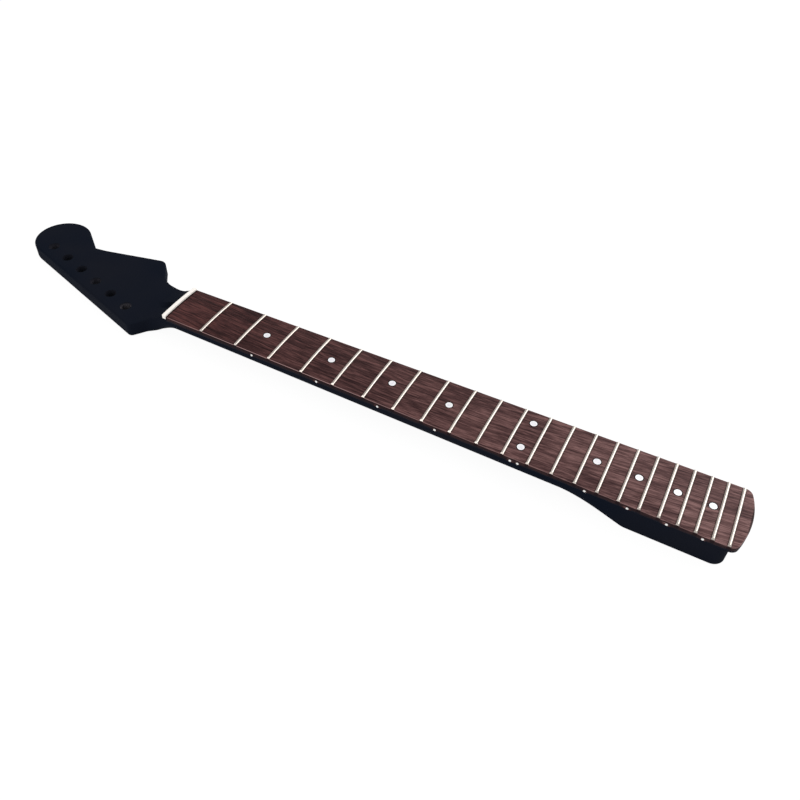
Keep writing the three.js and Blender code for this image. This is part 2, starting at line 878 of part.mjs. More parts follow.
add("neck", neck_geometry(), black_lacquer);
add("fingerboard", fingerboard_geometry(), rosewood);
add("nut", nut_geometry(), bone);
for (let number = 1; number <= fret_count; number += 1) {
  add(`fret_${two_digits(number)}`, fret_geometry(number), nickel_silver);
}
for (const mark of face_marks) {
  add(`dot_${mark.name}`, dot_geometry(mark), pearl);
}
for (const mark of side_marks) {
  add(`side_dot_${mark.name}`, side_dot_geometry(mark), white_plastic);
}
add("truss_rod_adjuster", adjuster_geometry(), steel);
add("truss_rod_screw", rod_geometry(), steel);
add("truss_rod_bar", bar_geometry(), steel);
add("truss_rod_front_block", block_geometry(front_block_start, front_block_end), brass);
add("truss_rod_rear_block", block_geometry(rear_block_start, rear_block_end), brass);

const guitar_neck = new THREE.Group();
guitar_neck.add(neck_from_nut);

export default guitar_neck;
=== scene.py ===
# %% [markdown]
# A bolt-on electric guitar neck, dressed around a fixed frame.
# The frame gives every piece its real size and place. This lesson rebuilds what shows, piece by piece:
# the lacquered neck with its headstock, the rosewood fingerboard, frets, nut and dots, and gives the truss
# rod its metal.
# Lengths are written in millimetres from the nut's front edge, as a neck maker measures them,
# and are turned into Blender's metres only when a mesh is made.

# %% Load the frame
import math

import bmesh
import bpy
import numpy as np
from mathutils import Matrix, Vector


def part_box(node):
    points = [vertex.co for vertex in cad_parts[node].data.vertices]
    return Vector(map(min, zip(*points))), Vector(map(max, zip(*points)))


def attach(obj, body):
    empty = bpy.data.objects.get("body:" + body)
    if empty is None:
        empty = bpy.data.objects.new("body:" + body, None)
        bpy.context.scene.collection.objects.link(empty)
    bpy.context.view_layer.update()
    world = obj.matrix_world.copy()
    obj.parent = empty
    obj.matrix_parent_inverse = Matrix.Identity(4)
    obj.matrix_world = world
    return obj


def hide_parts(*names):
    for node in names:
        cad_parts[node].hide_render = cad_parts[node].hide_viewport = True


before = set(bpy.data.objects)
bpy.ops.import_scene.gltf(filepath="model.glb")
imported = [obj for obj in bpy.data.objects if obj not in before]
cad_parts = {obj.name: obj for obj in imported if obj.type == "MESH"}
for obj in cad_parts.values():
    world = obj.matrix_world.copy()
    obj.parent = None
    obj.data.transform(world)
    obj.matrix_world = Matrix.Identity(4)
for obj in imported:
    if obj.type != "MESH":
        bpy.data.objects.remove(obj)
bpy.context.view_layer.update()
millimetre = 0.001
body = "neck_body"
print("frame nodes", len(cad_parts))

# %% [markdown]
# The frame's boxes give the sizes that the pieces have to share: where the nut, the heel's end and the
# frets are, and how high the glue line lies. A fret at the octave halves the string, so its distance
# from the nut doubled is the string length, and every other fret follows from that one number.

# %% Sizes read from the frame
seat_gap = 0.05
frets_per_octave = 12
nut_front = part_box("nut")[1].x / millimetre + seat_gap


def corner_from_nut(corner):
    corner = corner / millimetre
    return corner.x - nut_front, corner.y, corner.z


def low(node):
    return corner_from_nut(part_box(node)[0])


def high(node):
    return corner_from_nut(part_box(node)[1])


def middle(node):
    return [(a + b) / 2 for a, b in zip(low(node), high(node))]


def radius_of(node):
    return (high(node)[0] - low(node)[0]) / 2


string_length = 2 * middle("fret_12")[0]
fret_count = sum(name.startswith("fret_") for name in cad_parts)
glue_height = low("fingerboard")[2]
board_top = high("fingerboard")[2]
heel_reach = high("neck")[0]
board_reach = high("fingerboard")[0]
tip_reach = low("neck")[0]
nut_back = low("nut")[0] - seat_gap


def fret_place(number):
    return string_length * (1 - 2 ** (-number / frets_per_octave))


print("string length", round(string_length, 2), "frets", fret_count, "heel", round(heel_reach, 2))

# %% [markdown]
# The neck widens from 43 mm at the nut to 56.3 mm at the end of the heel, its top is a slice of a
# cylinder of 305 mm radius, and the headstock is 14 mm thick. These are the maker's driving sizes.
# Behind the nut the wood falls from a small ledge to the headstock's face along an arc, the ramp.

# %% Driving sizes
nut_width = 43
heel_width = 56.3
board_radius = 305
headstock_thickness = 14
ledge_height = 4
ledge_length = 2.2
ramp_radius = 30
edge_round = 2
heel_edge_round = 0.9
ledge_round = 0.6

ledge_top = glue_height + ledge_height
ledge_end = nut_back - ledge_length
ramp_rise = ledge_top - headstock_thickness
ramp_foot = ledge_end - math.sqrt(ramp_radius ** 2 - (ramp_radius - ramp_rise) ** 2)


def half_width(x):
    return (nut_width + (heel_width - nut_width) * x / heel_reach) / 2


def crown_drop(across):
    return board_radius - np.sqrt(board_radius ** 2 - np.square(across))


def smooth(share):
    held = np.clip(share, 0, 1)
    return held * held * (3 - 2 * held)


def blend(start, end, share):
    return start + (end - start) * share


print("ledge from", round(nut_back, 2), "to", round(ledge_end, 2), "ramp foot", round(ramp_foot, 2))

# %% [markdown]
# A mesh made in code is a list of points and a list of faces. The helper below places the points in
# metres, joins points that coincide, and turns the skin right side out by the sign of its volume.
# Edges too short to see are dissolved, except on a piece that has to keep all its rows. Numbers that a
# material reads, such as the painted edge highlight, go onto the points before these are joined.

# %% A mesh from points and faces
weld = 0.004 * millimetre
sliver = weld / 4


def signed_volume(mesh):
    mesh.calc_loop_triangles()
    corners = np.array([vertex.co for vertex in mesh.vertices])
    triangles = np.array([triangle.vertices for triangle in mesh.loop_triangles])
    a, b, c = (corners[triangles[:, column]] for column in range(3))
    return float(np.einsum("ij,ij->i", a, np.cross(b, c)).sum() / 6)


def add_to_scene(name, data):
    made = bpy.data.objects.new(name, data)
    bpy.context.scene.collection.objects.link(made)
    return made


def make_piece(name, points, faces, materials=(), kinds=None, values=None, dissolve=True):
    mesh = bpy.data.meshes.new(name)
    placed = (np.array(points, float) + [nut_front, 0, 0]) * millimetre
    mesh.from_pydata(placed.tolist(), [], [list(face) for face in faces])
    for material in materials:
        mesh.materials.append(material)
    if kinds is not None:
        mesh.polygons.foreach_set("material_index", kinds)
    for label, numbers in (values or {}).items():
        mesh.attributes.new(label, "FLOAT", "POINT").data.foreach_set("value", numbers)
    shaped = bmesh.new()
    shaped.from_mesh(mesh)
    bmesh.ops.remove_doubles(shaped, verts=shaped.verts, dist=weld)
    if dissolve:
        bmesh.ops.dissolve_degenerate(shaped, edges=shaped.edges, dist=sliver)
    bmesh.ops.recalc_face_normals(shaped, faces=shaped.faces)
    shaped.to_mesh(mesh)
    shaped.free()
    if signed_volume(mesh) < 0:
        mesh.flip_normals()
    return add_to_scene(name, mesh)


print("points join within", weld / millimetre, "mm")

# %% [markdown]
# Booleans, Geometry Nodes and the even shading are modifiers. Each is baked into the mesh at once,
# so that what the export reads is a plain mesh. The report counts edges that don't have exactly two
# faces: a closed skin has none.

# %% Modifiers and the report
sharp_angle = 32


def apply_modifiers(piece):
    graph = bpy.context.evaluated_depsgraph_get()
    made = bpy.data.meshes.new_from_object(piece.evaluated_get(graph))
    piece.modifiers.clear()
    old = piece.data
    piece.data = made
    bpy.data.meshes.remove(old)
    made.name = piece.name


def cut(piece, cutter):
    modifier = piece.modifiers.new("cut", "BOOLEAN")
    modifier.operation = "DIFFERENCE"
    modifier.solver = "MANIFOLD"
    modifier.object = cutter
    apply_modifiers(piece)
    bpy.data.objects.remove(cutter)


def shade(piece, angle=sharp_angle):
    piece.data.shade_smooth()
    piece.data.set_sharp_from_angle(angle=math.radians(angle))
    modifier = piece.modifiers.new("even shading", "WEIGHTED_NORMAL")
    modifier.keep_sharp = True
    apply_modifiers(piece)


def report(piece):
    shaped = bmesh.new()
    shaped.from_mesh(piece.data)
    open_edges = sum(not edge.is_manifold for edge in shaped.edges)
    shaped.free()
    triangles = sum(len(face.vertices) - 2 for face in piece.data.polygons)
    print(piece.name, "triangles", triangles, "open edges", open_edges)


print("edges stay sharp from", sharp_angle, "degrees")

# %% [markdown]
# A turned shape, such as a drill's cut, is a profile of (radius, height) points spun about an axis.
# A milled slot is a plain block. Both are only tools here: they cut, and then they are thrown away.

# %% Turned and milled cutters


def tube_faces(ring, rings):
    last = ring * (rings - 1)
    faces = []
    for first in range(0, last, ring):
        for step in range(ring):
            here, there = first + step, first + (step + 1) % ring
            faces.append((here, there, there + ring, here + ring))
    return faces + [range(ring - 1, -1, -1), range(last, last + ring)]


def turned(name, profile, facets, place, axis="z"):
    points = []
    for radius, height in profile:
        for step in range(facets):
            angle = 2 * math.pi * step / facets
            u, v = radius * math.cos(angle), radius * math.sin(angle)
            local = {"z": (u, v, height), "x": (height, u, v), "y": (v, height, u)}[axis]
            points.append([a + b for a, b in zip(local, place)])
    return make_piece(name, points, tube_faces(facets, len(profile)))


def block(name, corner_low, corner_high):
    (x0, y0, z0), (x1, y1, z1) = corner_low, corner_high
    points = [(x, y, z) for x in (x0, x1) for y in (y0, y1) for z in (z0, z1)]
    faces = [(0, 1, 3, 2), (4, 6, 7, 5), (0, 4, 5, 1), (2, 3, 7, 6), (0, 2, 6, 4), (1, 5, 7, 3)]
    return make_piece(name, points, faces)


print("a square tube has", len(tube_faces(4, 2)), "faces")

# %% [markdown]
# Materials are small trees of nodes. Writing them link by link hides the idea, so a signal wraps a
# socket and lets the tree be written as a formula: adding two signals adds a Math node.

# %% Signals: node trees written as formulas


def plug(tree, value, slot):
    if isinstance(value, Signal):
        tree.links.new(value.socket, slot)
    elif value is not None:
        slot.default_value = value


def formula(tree, operation, *values):
    made = tree.nodes.new("ShaderNodeMath")
    made.operation = operation
    for value, slot in zip(values, made.inputs):
        plug(tree, value, slot)
    return Signal(tree, made.outputs[0])


class Signal:
    def __init__(self, tree, socket):
        self.tree = tree
        self.socket = socket

    def math(self, operation, *others):
        return formula(self.tree, operation, self, *others)

    def __add__(self, other):
        return self.math("ADD", other)

    def __sub__(self, other):
        return self.math("SUBTRACT", other)

    def __rsub__(self, other):
        return (self * -1) + other

    def __mul__(self, other):
        return self.math("MULTIPLY", other)

    def __truediv__(self, other):
        return self.math("DIVIDE", other)


print("signals can be added, subtracted, multiplied and divided")

# %% [markdown]
# A finish needs the same few nodes again and again: a place on the piece, cloudy noise, and a relief that
# catches light. Each gets a short name here. Places are read in the object's own coordinates, so a
# pattern stays on its piece when the piece moves.

# %% Short names for the nodes that are used most
object_output = 3
factor_output = 2


def node(tree, kind, settings=None, outputs=0, **inputs):
    made = tree.nodes.new(kind)
    for name, value in (settings or {}).items():
        setattr(made, name, value)
    for name, value in inputs.items():
        plug(tree, value, made.inputs[name.replace("_", " ")])
    return Signal(tree, made.outputs[outputs])


def object_place(tree, stretch=(1, 1, 1)):
    place = node(tree, "ShaderNodeTexCoord", outputs=object_output)
    return node(tree, "ShaderNodeMapping", Vector=place, Scale=stretch)


def attribute(tree, name):
    return node(tree, "ShaderNodeAttribute", {"attribute_name": name}, outputs=factor_output)


def combine(tree, x, y, z):
    return node(tree, "ShaderNodeCombineXYZ", X=x, Y=y, Z=z)


def separate(tree, vector):
    made = tree.nodes.new("ShaderNodeSeparateXYZ")
    plug(tree, vector, made.inputs[0])
    return [Signal(tree, output) for output in made.outputs]


def noise(tree, place, scale, detail=2.0, roughness=0.5, distortion=0.0):
    return node(tree, "ShaderNodeTexNoise", Vector=place, Scale=scale, Detail=detail,
                Roughness=roughness, Distortion=distortion)


def bump(tree, height, strength, distance, normal=None):
    return node(tree, "ShaderNodeBump", Height=height, Strength=strength, Distance=distance,
                Normal=normal)


print("textures read output", object_output, "of the coordinates: the object's own")

# %% [markdown]
# A colour is written in the levels from 0 to 255 that a screen uses, and is made linear for the shader.
# A noise texture mostly stays between 0.3 and 0.7, so a helper maps that range onto two values, and
# the colour ramps put their stops inside it.

# %% Colours, ramps and ranges
noise_low = 0.3
noise_high = 0.7
top_level = 255
screen_gamma = 2.2


def linear(*levels):
    return tuple((level / top_level) ** screen_gamma for level in levels) + (1.0,)


def ramp(tree, signal, *stops):
    made = tree.nodes.new("ShaderNodeValToRGB")
    plug(tree, signal, made.inputs[0])
    elements = made.color_ramp.elements
    while len(elements) < len(stops):
        elements.new(0.5)
    for element, (place, colour) in zip(elements, stops):
        element.position = place
        element.color = colour
    return Signal(tree, made.outputs[0])


def spread(tree, signal, from_low, from_high, to_low, to_high):
    made = tree.nodes.new("ShaderNodeMapRange")
    for slot, value in zip(made.inputs, (signal, from_low, from_high, to_low, to_high)):
        plug(tree, value, slot)
    return Signal(tree, made.outputs[0])


def spread_noise(tree, cloud, to_low, to_high):
    return spread(tree, cloud, noise_low, noise_high, to_low, to_high)


def mix(tree, share, first, second):
    made = tree.nodes.new("ShaderNodeMix")
    made.data_type = "RGBA"
    for slot, value in ((0, share), (6, first), (7, second)):
        plug(tree, value, made.inputs[slot])
    return Signal(tree, made.outputs[2])


print("a screen's middle grey is", round(linear(128)[0], 3), "to the shader")

# %% [markdown]
# Every finish in this lesson ends in one principled shader. It gets a colour, a roughness and a relief,
# and a shine: how much of the light a coat throws back without its colour.

# %% A new material
usual_shine = 0.5


def new_material(name):
    material = bpy.data.materials.new(name)
    material.use_nodes = True
    tree = material.node_tree
    tree.nodes.clear()
    return material, tree


def finish(tree, colour, roughness, relief, shine=usual_shine, metallic=0.0):
    shader = tree.nodes.new("ShaderNodeBsdfPrincipled")
    output = tree.nodes.new("ShaderNodeOutputMaterial")
    plug(tree, colour, shader.inputs["Base Color"])
    plug(tree, roughness, shader.inputs["Roughness"])
    plug(tree, relief, shader.inputs["Normal"])
    shader.inputs["Specular IOR Level"].default_value = shine
    shader.inputs["Metallic"].default_value = metallic
    tree.links.new(shader.outputs[0], output.inputs["Surface"])


print("materials start with shine", usual_shine)

# %% [markdown]
# The lacquer is a blue-black film over maple, rubbed down so far that it barely shines. The spray gun
# leaves a faint orange peel, and the ghost of the grain shows under it. Its colour drifts slightly, and
# hands leave duller patches.

# %% Black lacquer
lacquer_shine = 0.005


def make_lacquer():
    material, tree = new_material("black_lacquer")
    wide = noise(tree, object_place(tree), 14, 2)
    smears = noise(tree, object_place(tree, (1, 3, 3)), 30, 4, 0.6)
    peel = noise(tree, object_place(tree), 700, 1)
    grain = noise(tree, object_place(tree, (0.04, 1, 1)), 900, 2)
    finish(
        tree,
        ramp(tree, wide, (0.35, linear(24, 28, 37)), (0.65, linear(29, 31, 38))),
        spread_noise(tree, smears, 0.52, 0.66),
        bump(tree, grain, 0.05, 0.0001, bump(tree, peel, 0.08, 0.00012)),
        lacquer_shine,
    )
    return material


lacquer = make_lacquer()
print("made", lacquer.name)

# %% [markdown]
# Rosewood is dark, reddish and streaked along the board, with short open pores. Stretching the noise
# along the neck turns round blotches into grain. The tree it was cut from was not quite straight, so
# the grain sweeps in a shallow arc: the sideways place is shifted by the square of the distance.
# Three layers are mixed: wide bands, streaks about a millimetre and a half wide, and fine lines. The
# pores lie over them. A painted sheen lightens and greys the board towards the heel.

# %% The grain of rosewood
grain_bend = 0.2
grain_turn = -0.24
band_share, streak_share, line_share = 0.22, 0.43, 0.35
sheen_start_place, sheen_full_place = -0.39, 0.05
# the wood at the nut's end, and the same wood lighter and greyer under a painted sheen at the heel
wood_without_sheen = ((0.41, linear(34, 20, 21)), (0.5, linear(60, 38, 38)), (0.59, linear(88, 56, 54)))
wood_with_painted_sheen = ((0.41, linear(61, 42, 43)), (0.5, linear(93, 68, 67)), (0.59, linear(129, 99, 97)))


def rosewood_grain(tree, x, y, z):
    along = x - grain_turn
    swept = combine(tree, x, y - along * along * grain_bend, z)

    def grain(length_share, scale, detail, roughness, distortion=0.0):
        place = node(tree, "ShaderNodeMapping", Vector=swept, Scale=(length_share, 1, 1))
        return noise(tree, place, scale, detail, roughness, distortion)

    bands = grain(0.14, 75, 3, 0.5, 0.3)
    streaks = grain(0.085, 420, 4, 0.62, 0.7)
    lines = grain(0.07, 1200, 2, 0.5, 0.5)
    tone = bands * band_share + streaks * streak_share + lines * line_share
    # Painted sheen: the wood turns lighter and greyer from the nut's end to the heel.
    to_heel = spread(tree, x, sheen_start_place, sheen_full_place, 0, 1)
    colour = mix(tree, to_heel, ramp(tree, tone, *wood_without_sheen), ramp(tree, tone, *wood_with_painted_sheen))
    pores = spread(tree, grain(0.07, 2400, 1, 0.5), 0.6, 0.7, 0, 1)
    return colour, streaks, pores


print("grain turns at", grain_turn, "m")

# %% [markdown]
# Two marks are painted light. A band of painted shade darkens both feet of every fret, and the shader finds
# the nearest fret from the string length, by the same rule that places the frets. A painted highlight
# lightens the rolled edge of the board, most of all near the nut. Where that edge runs is known when the
# mesh is made, so the mesh carries the highlight as a number on each point, and the shader only reads it.

# %% Painted fret shade and edge highlight
crown_width = 2.5
fret_shade_start = -0.1
fret_shade_reach = 0.55
highlight_full_place = -0.36
highlight_fade_start, highlight_fade_end = -0.28, -0.17


# Painted shade: a dark band along both feet of every fret.
def fret_foot_shade(tree, x):
    shares = (x - nut_front * millimetre) / (string_length * millimetre)
    number = (1 - shares).math("LOGARITHM", 2) * -frets_per_octave
    nearest = formula(tree, "POWER", 2, number.math("ROUND") / -frets_per_octave)
    away = (1 - nearest - shares).math("ABSOLUTE") * string_length
    return spread(tree, away, crown_width / 2 + fret_shade_start, crown_width / 2 + fret_shade_reach, 1, 0)


# Painted highlight: the rolled edge is lightened, most near the nut, fading towards the heel.
def edge_highlight(tree, x):
    painted_highlight = attribute(tree, "edge_highlight")
    painted_highlight = painted_highlight * spread(tree, x, nut_front * millimetre, highlight_full_place, 0.45, 0.8)
    return painted_highlight * spread(tree, x, highlight_fade_start, highlight_fade_end, 1, 0.35)


# The dirt named in this print is painted shade at the feet of the frets.
print("dirt reaches", fret_shade_reach, "mm from a fret's foot")

# %% [markdown]
# The finish lays these marks over the grain, one mix after the other: pores, painted highlight, painted
# shade at the frets. Then painted shade darkens the side of the board, less near the nut. Last comes the
# black spray from the neck. It was masked off on the side of the board, and mist crept past the mask, so
# the film covers the wood as a point's share of spray grows.

# %% The rosewood finish
fret_shade_share = 0.75
pore_share = 0.55
# where the lighter side near the nut, with less painted shade, ends
side_shade_nut_end = -0.37
rosewood_shine = 0.05


def make_rosewood():
    material, tree = new_material("rosewood")
    x, y, z = separate(tree, node(tree, "ShaderNodeTexCoord", outputs=object_output))
    colour, streaks, pores = rosewood_grain(tree, x, y, z)
    colour = mix(tree, pores * pore_share, colour, linear(26, 14, 14))
    # Painted highlight along the rolled edge of the board.
    colour = mix(tree, edge_highlight(tree, x), colour, linear(176, 142, 140))
    # Painted shade at both feet of every fret.
    colour = mix(tree, fret_foot_shade(tree, x) * fret_shade_share, colour, linear(16, 10, 11))
    mist = noise(tree, object_place(tree, (0.3, 1, 1)), 500, 2)
    shade_and_spray = attribute(tree, "side_shade_and_spray")
    # Painted shade: the side of the board is darkened below the rolled edge, less near the nut.
    near_nut = spread(tree, x, nut_front * millimetre, side_shade_nut_end, 0.35, 0)
    side_shade = spread(tree, shade_and_spray - near_nut, 0.1, 0.6, 0, 0.85)
    film = spread(tree, shade_and_spray + mist * 0.3, 0.97, 1.15, 0, 1)
    # mix in the painted side shade, then the black film
    colour = mix(tree, side_shade, colour, linear(27, 15, 20))
    colour = mix(tree, film, colour, linear(19, 23, 33))
    relief = bump(tree, pores * -1, 0.3, 0.0001, bump(tree, streaks, 0.12, 0.0001))
    finish(tree, colour, spread_noise(tree, streaks, 0.42, 0.56), relief, rosewood_shine)
    return material


rosewood = make_rosewood()
print("made", rosewood.name)

# %% [markdown]
# The spray gun reaches into the tuner holes unevenly. Three of the six walls are covered, two are only
# dusted, and one is nearly bare grey wood. So there are three finishes, which differ in how much film
# they keep and in the tone under it. The maple of the truss rod's channel is plain and pale.

# %% Hole walls and bare maple
film_fades_from, film_fades_to = 0.011, 0.0135
hole_shine = 0.05


def make_hole_wall(name, cover, dark, light):
    material, tree = new_material(name)
    place = object_place(tree)
    height = node(tree, "ShaderNodeSeparateXYZ", outputs=2, Vector=place)
    patches = noise(tree, place, 160, 4, 0.7)
    inside = spread(tree, height, film_fades_from, film_fades_to, 1, 0)
    bare = inside * spread(tree, patches, cover, cover + 0.15, 0, 1)
    fibres = noise(tree, object_place(tree, (1, 1, 0.15)), 1500, 3)
    wood = ramp(tree, fibres, (0.35, dark), (0.65, light))
    colour = mix(tree, bare, linear(32, 33, 40), wood)
    roughness = spread_noise(tree, patches, 0.5, 0.8)
    finish(tree, colour, roughness, bump(tree, fibres, 0.4, 0.0002), hole_shine)
    return material


def make_maple():
    material, tree = new_material("bare_maple")
    grain = noise(tree, object_place(tree, (0.06, 1, 1)), 260, 4, 0.6, 0.3)
    colour = ramp(tree, grain, (noise_low, linear(196, 160, 116)), (noise_high, linear(226, 196, 150)))
    finish(tree, colour, spread_noise(tree, grain, 0.55, 0.7), bump(tree, grain, 0.2, 0.0002))
    return material


sprayed_wall = make_hole_wall("sprayed_hole", 0.55, linear(34, 34, 40), linear(50, 48, 53))
dusted_wall = make_hole_wall("dusted_hole", 0.2, linear(46, 46, 53), linear(60, 59, 66))
bare_wall = make_hole_wall("bare_hole", 0.3, linear(62, 60, 65), linear(94, 91, 96))
maple = make_maple()
print("made", sprayed_wall.name, dusted_wall.name, bare_wall.name, maple.name)

# %% [markdown]
# Small hardware: polished nickel silver for the frets, warm white for the nut, imitation pearl for the
# dots with dark glue round it, white plastic for the side dots, and steel and brass for the truss rod.
# Metal has fine scratches in one direction, plastic only a cloud, and pearl a twisted swirl. The pearl
# goes white near the disc's edge, which leaves its middle greyer: a painted reflection.

# %% Metal, plastic and pearl


def make_metal(name, dark, light, roughness, stretch):
    material, tree = new_material(name)
    lines = noise(tree, object_place(tree, stretch), 900, 3, 0.6)
    colour = ramp(tree, lines, (noise_low, dark), (noise_high, light))
    worn = spread_noise(tree, lines, roughness * 0.8, roughness * 1.25)
    finish(tree, colour, worn, bump(tree, lines, 0.03, 0.00005), metallic=1.0)
    return material


def make_plain(name, dark, light, scale, roughness, shine=usual_shine):
    material, tree = new_material(name)
    cloud = noise(tree, object_place(tree), scale, 3)
    fine = noise(tree, object_place(tree, (1, 0.1, 1)), scale * 12, 2)
    colour = ramp(tree, cloud, (noise_low, dark), (noise_high, light))
    worn = spread_noise(tree, fine, roughness * 0.85, roughness * 1.2)
    finish(tree, colour, worn, bump(tree, fine, 0.05, 0.0001), shine)
    return material


def make_pearl():
    material, tree = new_material("pearl")
    swirl = noise(tree, object_place(tree), 420, 3, 0.5, 1.6)
    colours = ((0.35, linear(208, 204, 216)), (0.5, linear(234, 232, 236)), (0.65, linear(214, 220, 220)))
    # Painted reflection: the rim is mixed towards white, so the disc's middle reads greyer.
    rim = spread(tree, attribute(tree, "from_middle"), 0.6, 0.95, 0, 0.8)
    colour = mix(tree, rim, ramp(tree, swirl, *colours), linear(247, 246, 247))
    finish(tree, colour, spread_noise(tree, swirl, 0.16, 0.26), bump(tree, swirl, 0.05, 0.0001))
    return material


fret_scratches = (0.6, 0.05, 0.6)
nickel_silver = make_metal(
    "nickel_silver", linear(162, 154, 147), linear(176, 168, 161), 0.32, fret_scratches)
rod_steel = make_metal("rod_steel", linear(150, 152, 156), linear(186, 188, 190), 0.42, (0.1, 1, 1))
rod_brass = make_metal("rod_brass", linear(186, 148, 84), linear(214, 180, 112), 0.42, (1, 0.1, 1))
nut_white = make_plain("nut_bone", linear(246, 239, 231), linear(252, 247, 241), 150, 0.36)
side_white = make_plain("side_white", linear(240, 240, 236), linear(247, 247, 244), 600, 0.32)
glue = make_plain("dark_glue", linear(12, 8, 8), linear(22, 14, 14), 900, 0.5, shine=0.03)
pearl = make_pearl()
print("made", nickel_silver.name, nut_white.name, side_white.name, glue.name, pearl.name)

# %% [markdown]
# The headstock's outline is a few straight edges and arcs. Each arc keeps, beside its points, the
# direction that points into the wood, because the rounded rim is built by stepping inwards along it.
# A corner between two straight edges is filled by the arc that touches both.

# %% Arcs and rounded corners
arc_step = 3.0


def arc(centre, radius, start, stop, inward=1):
    steps = max(2, math.ceil(abs(stop - start) / arc_step))
    angles = np.radians(np.linspace(start, stop, steps + 1))
    spokes = np.column_stack([np.cos(angles), np.sin(angles)])
    return [(np.array(centre) + radius * spoke, -inward * spoke) for spoke in spokes]


def rounded_corner(before, corner, after, radius):
    before, corner, after = (np.array(point, float) for point in (before, corner, after))
    back = (before - corner) / np.linalg.norm(before - corner)
    ahead = (after - corner) / np.linalg.norm(after - corner)
    half_angle = math.acos(np.clip(back @ ahead, -1, 1)) / 2
    middle_way = (back + ahead) / np.linalg.norm(back + ahead)
    centre = corner + middle_way * radius / math.sin(half_angle)
    first = corner + back * radius / math.tan(half_angle) - centre
    final = corner + ahead * radius / math.tan(half_angle) - centre
    start = math.degrees(math.atan2(first[1], first[0]))
    turn = math.degrees(math.atan2(first[0] * final[1] - first[1] * final[0], first @ final))
    return arc(centre, radius, start, start + turn, 1 if turn > 0 else -1)


print("a quarter circle has", len(arc((0, 0), 1, 0, 90)), "points")

# %% [markdown]
# On the bass side the shaft runs into the headstock along an arc and then a steep straight edge, on the
# treble side it flares only a little before the throat. The bass edge lies at 17.4 degrees to the neck,
# and the row of tuner holes is parallel to it.

# %% Both sides of the throat
bass_edge_angle = 17.4
bass_corner = np.array([-31.2, -35.56])
bass_corner_radius = 4.5
bass_throat_angle = math.radians(54)
bass_throat_radius = 10
treble_flare_slope = 0.16

bass_way = np.array([math.cos(math.radians(bass_edge_angle)), -math.sin(math.radians(bass_edge_angle))])
throat_run = bass_throat_radius * math.sin(bass_throat_angle)
throat_slope = math.tan(bass_throat_angle)
throat_arc_rise = bass_throat_radius * (1 - math.cos(bass_throat_angle))
throat_edge_rise = -bass_corner[1] - half_width(nut_back) - throat_arc_rise
throat_start = bass_corner[0] + throat_edge_rise / throat_slope + throat_run


def bass_edge_side(x):
    return bass_corner[1] + (x - bass_corner[0]) * bass_way[1] / bass_way[0]


def bass_half(x):
    into = np.maximum(throat_start - x, 0)
    along_arc = np.minimum(into, throat_run)
    rise = bass_throat_radius - np.sqrt(bass_throat_radius ** 2 - along_arc ** 2)
    return half_width(np.maximum(x, nut_back)) + rise + (into - along_arc) * throat_slope


def treble_half(x):
    into = np.maximum(nut_back - x, 0)
    return half_width(np.maximum(x, nut_back)) + into * treble_flare_slope


print("bass throat starts", round(throat_start, 2))

# %% [markdown]
# The outline runs from the throat on the treble side round the horn, the waist and the round tip, and
# back along the straight bass edge to where the shaft's own sections take over.

# %% Headstock outline
treble_throat_back = 42
treble_throat_radius = 26
horn = np.array([-61.5, 52.5])
horn_radius = 7
brow = np.array([-74, 49.6])
brow_radius = 60
waist_from_tip_centre = np.array([49.3, 4.2])
waist_radius = 40
notch_slope = 0.135
notch_radius = 1.5
tip_radius = 25.5
tip_shoulder_angle = 52
join_gap = 0.3
join = ramp_foot - join_gap

tip_x = tip_reach + tip_radius
tip_centre = np.array([tip_x, bass_edge_side(tip_x) + tip_radius / bass_way[0]])


def headstock_rim():
    shoulder = math.radians(tip_shoulder_angle)
    slope = -1 / math.tan(shoulder)
    tangent = tip_centre + tip_radius * np.array([math.cos(shoulder), math.sin(shoulder)])
    waist = tip_centre + waist_from_tip_centre
    notch_x = (tangent[1] - slope * tangent[0] - waist[1] + notch_slope * waist[0]) / (
        notch_slope - slope)
    notch = np.array([notch_x, waist[1] + notch_slope * (notch_x - waist[0])])
    throat = np.array([-treble_throat_back, treble_half(-treble_throat_back)])
    treble_start = np.array([join, treble_half(join)])
    bass_start = np.array([join, -bass_half(join)])
    edge_end = tip_centre + tip_radius * np.array([bass_way[1], -bass_way[0]])
    return [
        *rounded_corner(treble_start, throat, horn, treble_throat_radius),
        *rounded_corner(throat, horn, brow, horn_radius),
        *rounded_corner(horn, brow, waist, brow_radius),
        *rounded_corner(brow, waist, notch, waist_radius),
        *rounded_corner(waist, notch, tangent, notch_radius),
        *arc(tip_centre, tip_radius, tip_shoulder_angle, 270 - bass_edge_angle),
        *rounded_corner(edge_end, bass_corner, bass_start, bass_corner_radius),
    ]


print("headstock tip centre", np.round(tip_centre, 2), "outline points", len(headstock_rim()))

# %% [markdown]
# The back of a neck is one long blend. Under the frets it is a soft C, drawn as a superellipse, and it
# runs out into the square heel at one end and the flat headstock at the other. The run into the heel
# starts slowly, as a hollow, and arrives softly at the flat. Describing each section by the direction
# its surface faces, instead of by its height, lets two sections be mixed point by point without a
# crease: both have the same slope there.

# %% The soft C of the back
depth_at_first_fret = 20
depth_at_twelfth_fret = 22
back_land = 1
nut_end_power = 1.8
octave_power = 2
throat_power = 10
heel_power = 60
heel_hollow_power = 1.5
heel_arrival_power = 1.35
heel_flat_length = 68
heel_blend_length = 50.5
throat_blend_start = 8
throat_blend_end = ramp_foot + 3
heel_flat_start = heel_reach - heel_flat_length
heel_blend_start = heel_flat_start - heel_blend_length
back_rows = 25
facing = np.radians(np.linspace(0, 90, back_rows))


